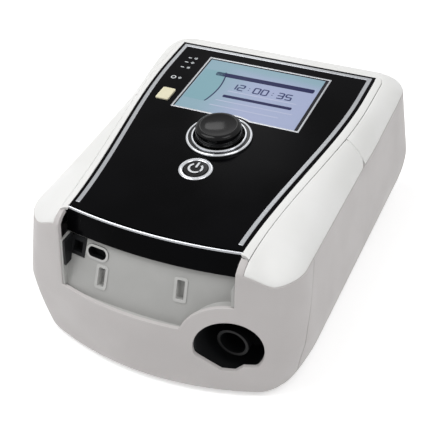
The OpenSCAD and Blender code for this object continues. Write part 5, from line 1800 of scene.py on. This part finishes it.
def flat_piece(outlines: Sequence, low: float, high: float) -> Solid:
    """Makes thin plates on the panel.

    Args:
        outlines: Closed outlines as (x, distance from the panel's rear edge), each n x 2.
        low: Height of their undersides over the panel.
        high: Height of their tops.

    Returns:
        Points in the part's own frame and faces.
    """
    parts = []
    for outline in outlines:
        flat = np.asarray(outline, float)
        x, v = flat.T
        if (x * np.roll(v, -1) - v * np.roll(x, -1)).sum() > 0:
            flat = flat[::-1]
        n = len(flat)
        points = np.vstack([np.column_stack([flat, np.full(n, z)]) for z in (high, low)])
        faces = [tuple(range(n)), tuple(range(2 * n - 1, n - 1, -1))]
        faces += [(i, n + i, n + (i + 1) % n, (i + 1) % n) for i in range(n)]
        parts.append((on_panel(points), faces))
    return joined(parts)


def bar(a: Sequence, b: Sequence, width: float) -> np.ndarray:
    """Draws a straight bar with rounded corners.

    Args:
        a: Middle of one end.
        b: Middle of the other end.
        width: Its width.

    Returns:
        Its outline, n x 2.
    """
    a, b = np.asarray(a, float), np.asarray(b, float)
    along = (b - a) / np.linalg.norm(b - a)
    side = np.array([-along[1], along[0]]) * width / 2
    return rounded([a + side, a - side, b - side, b + side], [width * 0.3] * 4, 3)


def arc(x: float, v: float, radius: float, width: float, first: float, last: float) -> list[np.ndarray]:
    """Draws a ring or part of one, in short pieces.

    Args:
        x: Place of its middle across the panel.
        v: Distance of its middle from the panel's rear edge.
        radius: Radius to the middle of its line.
        width: Width of its line.
        first: Where it starts, in degrees from the panel's rear.
        last: Where it ends.

    Returns:
        An outline for each piece.
    """
    steps = max(6, int((last - first) / 12))
    a = np.radians(np.linspace(first, last, steps + 1))
    out = []
    for p, q in zip(a, a[1:]):
        t = np.array([p, q, q, p])
        r = np.array([radius - width / 2] * 2 + [radius + width / 2] * 2)
        out.append(np.column_stack([x + r * np.sin(t), v - r * np.cos(t)]))
    return out


@dataclass
class Screen:
    """The picture on the display: two bars, clock digits, a side field with a curve, and thin lines.

    Places are x and the distance from the panel's rear edge. A bar or line is given by its two ends and
    its width, and dot holds the clock's points: distance from its middle line, half length and width.
    """

    builder: Builder
    glass: float = -0.1
    thick: float = 0.05
    clock: str = "12:00:35"
    clock_place: tuple[float, float] = (-18.5, 45.8)
    digit: tuple[float, float] = (4.4, 6.8)
    pitch: float = 6.3
    stroke: float = 1.15
    dot: tuple[float, float, float] = (1.3, 0.4, 0.9)
    bars: tuple[tuple, ...] = (((-36, 33.4), (43, 32.6), 5.0), ((-19, 59.6), (35, 58.8), 3.2))
    lines: tuple[tuple, ...] = (((-18, 52.6), (36, 52.2), 0.8), ((-22, 66), (38, 65.4), 0.7),
                                ((-24, 73), (30, 72.4), 0.7))
    field_x: tuple[float, float] = (-46.6, -30.0)
    field_v: tuple[float, float] = (30.0, 70.0)
    bulge: float = 3.4

    def segments(self) -> list[np.ndarray]:
        """Draws the clock in seven-segment digits.

        Returns:
            Their outlines.
        """
        (start, v), (w, h), (apart, half, wide) = self.clock_place, self.digit, self.dot
        top, middle, low = v - h / 2, v, v + h / 2
        lit = {"0": "abcdef", "1": "bc", "2": "abdeg", "3": "abcdg", "5": "acdfg"}
        out = []
        for k, letter in enumerate(self.clock):
            left = start + k * self.pitch
            right = left + w
            lines = {"a": ((left, top), (right, top)), "b": ((right, top), (right, middle)),
                     "c": ((right, middle), (right, low)), "d": ((left, low), (right, low)),
                     "e": ((left, middle), (left, low)), "f": ((left, top), (left, middle)),
                     "g": ((left, middle), (right, middle))}
            if letter in lit:
                out += [bar(*lines[name], self.stroke) for name in lit[letter]]
            else:
                x = (left + right) / 2
                out += [bar((x, v + s - half), (x, v + s + half), wide) for s in (-apart, apart)]
        return out

    def build(self) -> None:
        """Makes the marks and hands them over."""
        (edge, inner), (first, last) = self.field_x, self.field_v
        v = np.linspace(first, last, 21)
        curve = inner + self.bulge * np.sin((v - first) / (last - first) * math.pi) ** 0.8
        side = np.vstack([np.column_stack([curve, v]), [[edge, last], [edge, first]]])
        line = np.vstack([np.column_stack([curve + 0.1, v]), np.column_stack([curve + 1.1, v])[::-1]])
        marks = {
            "screen_bars": ("dots_dark", [bar(*ends) for ends in self.bars]),
            "screen_clock": ("dots_grey", self.segments()),
            "screen_field": ("dots_cyan", [side]),
            "screen_lines": ("dots_bright", [bar(*ends) for ends in self.lines]),
            "screen_curve": ("dots_dark", [line]),
        }
        low, high = self.glass - 0.02, self.glass + self.thick
        for name, (finish, outlines) in marks.items():
            lift = 0.02 if name == "screen_curve" else 0.0
            made = make_object(name, *flat_piece(outlines, low, high + lift))
            self.builder.hand_over(made, Body.HOUSING, "display_glass", finish=finish)


@dataclass
class Controls:
    """The knob with its ring, the start key with its symbol, and small printed marks.

    Profiles are (radius, height over the panel). The printed circle is given by its middle, its radius
    and the width of its line.
    """

    builder: Builder
    knob_v: float = 107.8
    ring_in: float = 17.9
    ring_out: float = 23.5
    start_v: float = 146.0
    start_up: float = 1.0
    start_r: float = 11.75
    start_in: float = 8.75
    symbol_r: float = 4.6
    symbol_w: float = 1.5
    dash_x: tuple[float, float] = (-66.4, -63.6)
    dash_v: tuple[float, ...] = (20.0, 26.5, 34.0)
    dash_w: float = 0.9
    circle: tuple[float, ...] = (-65.2, 49.0, 1.7, 0.8)

    def knob(self) -> None:
        """Makes the knob: a drum with a dished top, a rounded shoulder and a step above its skirt."""
        outline = [(0, 1.2), (15.6, 1.2), (16.1, 1.3), (16.4, 1.7), (16.5, 2.4), (16.5, 3.3), (16.25, 3.5),
                   (16.25, 3.8), (16.45, 4.0), (16.35, 6.4), (16.2, 8.8), (15.95, 9.5), (15.5, 10.1),
                   (14.9, 10.5), (14.3, 10.8), (13.7, 10.95), (13.1, 11), (12.4, 10.93), (11.5, 10.7),
                   (8, 10.35), (4, 10.16), (0, 10.1)]
        cap = turned(outline, 0, self.knob_v, "knob_cap.moulded", 160)
        self.builder.hand_over(cap, Body.KNOB, "knob_black", "knob_cap")

    def ring(self) -> None:
        """Makes the ring round the knob: two polished edges, and between them a black band in the groove
        that is a painted dark reflection.
        """
        a, b = self.ring_in, self.ring_out
        outline = [(a, -1), (b - 1.5, -1), (b - 1.5, 0), (b, 0), (b, 1.2), (b - 0.25, 1.75), (b - 0.8, 2.1),
                   (b - 1.3, 2.15), (b - 1.7, 1.9), (b - 1.85, 1.3), (a + 1.9, 1.3), (a + 1.7, 2.6),
                   (a + 1.4, 2.95), (a + 0.9, 3.05), (a + 0.4, 2.9), (a + 0.1, 2.5), (a, 1.9)]
        made = turned(outline, 0, self.knob_v, "knob_ring.cast", 160)
        self.builder.hand_over(made, Body.HOUSING, "chrome_ring", "knob_ring")
        # The black band on the groove's floor is a painted dark reflection: the chrome there shows a dark
        # line.
        outline = [(a + 1.86, 1.25), (b - 1.82, 1.25), (b - 1.82, 1.45), (a + 1.86, 1.45)]
        groove = turned(outline, 0, self.knob_v, "knob_ring_reflection_band", 160)
        self.builder.hand_over(groove, Body.HOUSING, "chrome_ring", finish="reflection_black")

    def start(self) -> None:
        """Makes the start key's ring, and its symbol: a broken circle with a bar."""
        outer, inner = self.start_r, self.start_in
        outline = [(inner, -1), (outer, -1), (outer, 0.15), (outer - 0.15, 0.42), (outer - 0.45, 0.58),
                   (outer - 0.9, 0.6), (inner + 0.7, 0.6), (inner + 0.25, 0.45), (inner, 0.1)]
        made = turned(outline, 0, self.start_v, "start_ring.cast", 128)
        self.builder.hand_over(made, Body.HOUSING, SLOTS["start_ring"], "start_ring")
        plates = arc(0, self.start_v, self.symbol_r, self.symbol_w, 38, 322)
        plates.append(bar((0, self.start_v - 6.4), (0, self.start_v - 0.6), self.symbol_w))
        points, faces = flat_piece(plates, self.start_up - 0.05, self.start_up + 0.06)
        symbol = make_object("start_symbol", points, faces, weld=0.002)
        self.builder.hand_over(symbol, Body.START_KEY, SLOTS["start_button"], finish="ink_silver")

    def marks(self) -> None:
        """Makes the plain printed marks beside the lamps: three dashes and a small circle."""
        left, right = self.dash_x
        plates = [bar((left, v), (right, v), self.dash_w) for v in self.dash_v]
        plates += arc(*self.circle, 0, 360)
        made = make_object("panel_marks", *flat_piece(plates, -0.02, 0.05))
        self.builder.hand_over(made, Body.HOUSING, "panel_black", finish="ink_silver")

    def build(self) -> None:
        """Makes the pieces and hands them over."""
        self.knob()
        self.ring()
        self.start()
        self.marks()


@dataclass
class Underside:
    """The rubber feet and the screws that hold the housing together, seen from below.

    Four of each stand on the corners of a grid, given by x and y of its middle, its width and its length.
    """

    builder: Builder
    repeats: Repeats
    foot_r: float = 7.5
    foot_top: float = 6.1
    feet: tuple[float, float, float, float] = (0, 4, 144, 184)
    screws: tuple[float, float, float, float] = (0, 7, 168, 182)
    head_z: float = 70.0
    head_r: float = 2.7
    head_h: float = 2.2
    recess_r: float = 1.3
    recess_flat: float = 1.0
    recess_depth: float = 1.2
    shank_r: float = 1.5
    shank_l: float = 20.0

    def foot(self) -> bpy.types.Object:
        """Makes one foot: ribbed underneath, with a rounded edge and a moulded step.

        Returns:
            The foot, about the middle of its underside.
        """
        r = self.foot_r
        outline = [(0, 0.55), (1.6, 0.55), (1.9, 0.25), (2.6, 0.25), (2.9, 0.55), (3.5, 0.55), (3.8, 0.0),
                   (4.5, 0.0), (4.8, 0.4), (5.3, 0.4), (5.6, 0.0), (r - 1.1, 0.0), (r - 0.5, 0.2),
                   (r - 0.1, 0.6), (r, 1.2), (r, self.foot_top), (0, self.foot_top)]
        points, faces = revolved(outline, 72)
        return make_object("rubber_feet.moulded", points - part_origin(), faces, weld=0.002)

    def screw(self) -> bpy.types.Object:
        """Makes one screw: a pan head with a hexagon recess, pointing down.

        Returns:
            The screw, about the place where its head meets its shank.
        """
        r, top = self.head_r, -self.head_h
        outline = [(1.25, top), (r - 0.5, top), (r - 0.15, top + 0.2), (r, top + 0.6), (r, 0.0),
                   (self.shank_r, 0.0), (self.shank_r, self.shank_l - 1.0),
                   (self.shank_r - 0.9, self.shank_l), (0, self.shank_l), (0, top + self.recess_depth),
                   (1.0, top + self.recess_depth)]
        points, faces = revolved(outline, 24)
        away = np.hypot(points[:, 0], points[:, 1])
        recess = (np.abs(points[:, 2] - top) < 1e-6) & (away < self.recess_r)
        turn = np.arctan2(points[:, 1], points[:, 0])
        flat = self.recess_flat / np.cos((turn + math.pi / 6) % (math.pi / 3) - math.pi / 6)
        points[recess, :2] = np.column_stack([flat * np.cos(turn), flat * np.sin(turn)])[recess]
        return make_object("housing_screws.rolled", points - part_origin(), faces, weld=0.002)

    def build(self) -> None:
        """Makes both kinds and hands them over."""
        x, y, width, length = self.feet
        feet = self.repeats.lay(self.foot(), "foot_rubber", (x, y, 0), (width, length, 0), 2)
        self.builder.hand_over(feet, Body.HOUSING, SLOTS["rubber_feet"], "rubber_feet")
        x, y, width, length = self.screws
        screws = self.repeats.lay(self.screw(), "steel", (x, y, self.head_z), (width, length, 0), 2, 360.0)
        self.builder.hand_over(screws, Body.HOUSING, SLOTS["housing_screws"], "housing_screws")


@dataclass(frozen=True)
class Lamp:
    """One soft square lamp: places and size in metres, power in watts."""

    name: str
    place: tuple[float, float, float]
    aim: tuple[float, float, float]
    size: float
    power: float

    def hang(self) -> None:
        """Adds the lamp, turned to its aim."""
        data = bpy.data.lights.new(self.name, "AREA")
        data.size = self.size
        data.energy = self.power
        lamp = bpy.data.objects.new(self.name, data)
        bpy.context.scene.collection.objects.link(lamp)
        direction = Vector(self.aim) - Vector(self.place)
        turn = direction.to_track_quat("-Z", "Y").to_matrix().to_4x4()
        lamp.matrix_world = Matrix.Translation(Vector(self.place)) @ turn


@dataclass
class Studio:
    """Camera, lamps, floor and backdrop.

    The camera's place is in millimetres in the part's own frame, its angles in degrees and its focal
    length in points of the picture.
    """

    place: tuple[float, float, float] = (234.6, -480.1, 476.8)
    azimuth: float = 26.52
    elevation: float = 39.38
    roll: float = -3.15
    focal: float = 917.3
    picture: int = 440
    sensor: float = 36.0
    world: float = 0.40
    floor_half: float = 6.0
    floor_lift: float = 0.45
    lamps: tuple[Lamp, ...] = (
        Lamp("Key", (-0.8, -0.35, 1.6), (0, 0, 0.05), 1.1, 15.0),
        Lamp("Fill", (0.9, -0.2, 1.8), (0, 0, 0.05), 0.9, 9.0),
        Lamp("Side", (1.6, -0.5, 0.45), (0.05, 0, 0.05), 0.6, 1.0),
        Lamp("Glint", (-0.60, 1.30, 1.2), (0, 0, 0.12), 0.24, 0.4),
    )

    def camera(self) -> None:
        """Adds the camera at the photograph's viewing angle."""
        az, el, roll = (math.radians(v) for v in (self.azimuth, self.elevation, self.roll))
        back = Vector((math.sin(az) * math.cos(el), -math.cos(az) * math.cos(el), math.sin(el)))
        right = Vector((math.cos(az), math.sin(az), 0))
        up = right.cross(-back)
        turned_right = right * math.cos(roll) + up * math.sin(roll)
        turned_up = up * math.cos(roll) - right * math.sin(roll)
        data = bpy.data.cameras.new("Camera")
        data.sensor_fit = "HORIZONTAL"
        data.sensor_width = self.sensor
        data.lens = self.focal * self.sensor / self.picture
        data.clip_start = 0.01
        data.clip_end = 50.0
        camera = bpy.data.objects.new("Camera", data)
        bpy.context.scene.collection.objects.link(camera)
        turn = Matrix((turned_right, turned_up, back)).transposed().to_4x4()
        camera.matrix_world = Matrix.Translation(Vector((np.array(self.place) + part_origin()) * MM)) @ turn
        bpy.context.scene.camera = camera

    def shown_white(self, tree: bpy.types.NodeTree) -> bpy.types.NodeSocket:
        """Tells the camera's own view from the light that falls on things.

        Args:
            tree: The tree that gets the nodes.

        Returns:
            1 where the camera sees a surface itself, in metal or through glass, else 0.
        """
        path = node(tree, "ShaderNodeLightPath")
        seen = path.outputs["Is Camera Ray"]
        for other in ("Is Glossy Ray", "Is Transmission Ray"):
            seen = node(tree, "ShaderNodeMath", {0: seen, 1: path.outputs[other]},
                        operation="MAXIMUM").outputs[0]
        return seen

    def background(self) -> None:
        """Makes a plain pale world: grey as a light, white where it is seen."""
        world = bpy.data.worlds.new("Plain white studio")
        world.use_nodes = True
        tree = world.node_tree
        tree.nodes.clear()
        strength = node(tree, "ShaderNodeMapRange", {0: self.shown_white(tree), 3: self.world, 4: 1.0})
        light = node(tree, "ShaderNodeBackground", {0: (1, 1, 1, 1), 1: strength.outputs[0]})
        node(tree, "ShaderNodeOutputWorld", {0: light.outputs[0]})
        bpy.context.scene.world = world

    def floor(self) -> None:
        """Adds the pale floor that the ventilator stands on."""
        mesh = bpy.data.meshes.new("floor")
        far = self.floor_half
        corners = [(-far, -far, 0), (far, -far, 0), (far, far, 0), (-far, far, 0)]
        mesh.from_pydata(corners, [], [(0, 1, 2, 3)])
        plane = bpy.data.objects.new("floor", mesh)
        bpy.context.scene.collection.objects.link(plane)
        made = bpy.data.materials.new("Paper white, matt")
        made.use_nodes = True
        tree = made.node_tree
        tree.nodes.clear()
        plain = node(tree, "ShaderNodeBsdfDiffuse", {0: linear("#F4F4F4")})
        lift = node(tree, "ShaderNodeMapRange", {0: self.shown_white(tree), 3: 0.0, 4: self.floor_lift})
        glow = node(tree, "ShaderNodeEmission", {0: (1, 1, 1, 1), 1: lift.outputs[0]})
        both = node(tree, "ShaderNodeAddShader", {0: plain.outputs[0], 1: glow.outputs[0]})
        node(tree, "ShaderNodeOutputMaterial", {0: both.outputs[0]})
        mesh.materials.append(made)

    def build(self) -> None:
        """Sets up the whole studio."""
        self.camera()
        self.background()
        self.floor()
        for lamp in self.lamps:
            lamp.hang()
        bpy.context.scene.view_settings.view_transform = "Standard"
        LOG.info("studio ready")


def main() -> None:
    """Builds the ventilator and its studio in order."""
    logging.basicConfig(level=logging.INFO, format="%(message)s")
    Studio().build()
    finishes = Finishes()
    for name in frame["nodes"]:
        finishes.wear(name)
    builder = Builder(finishes)
    Housing(builder).build()
    Screen(builder).build()
    Controls(builder).build()
    Underside(builder, Repeats(builder)).build()
    for name, width in SOFT:
        builder.soften(name, width)
    # The front lip's rounded top edge gets the chrome finish as a painted highlight.
    builder.accent("front_lip", 0.55, "bright_trim", on_lip_highlight)
    builder.accent("dock_data_socket", 0.3, "slot_grey", on_data_frame)


if __name__ == "__main__":
    main()
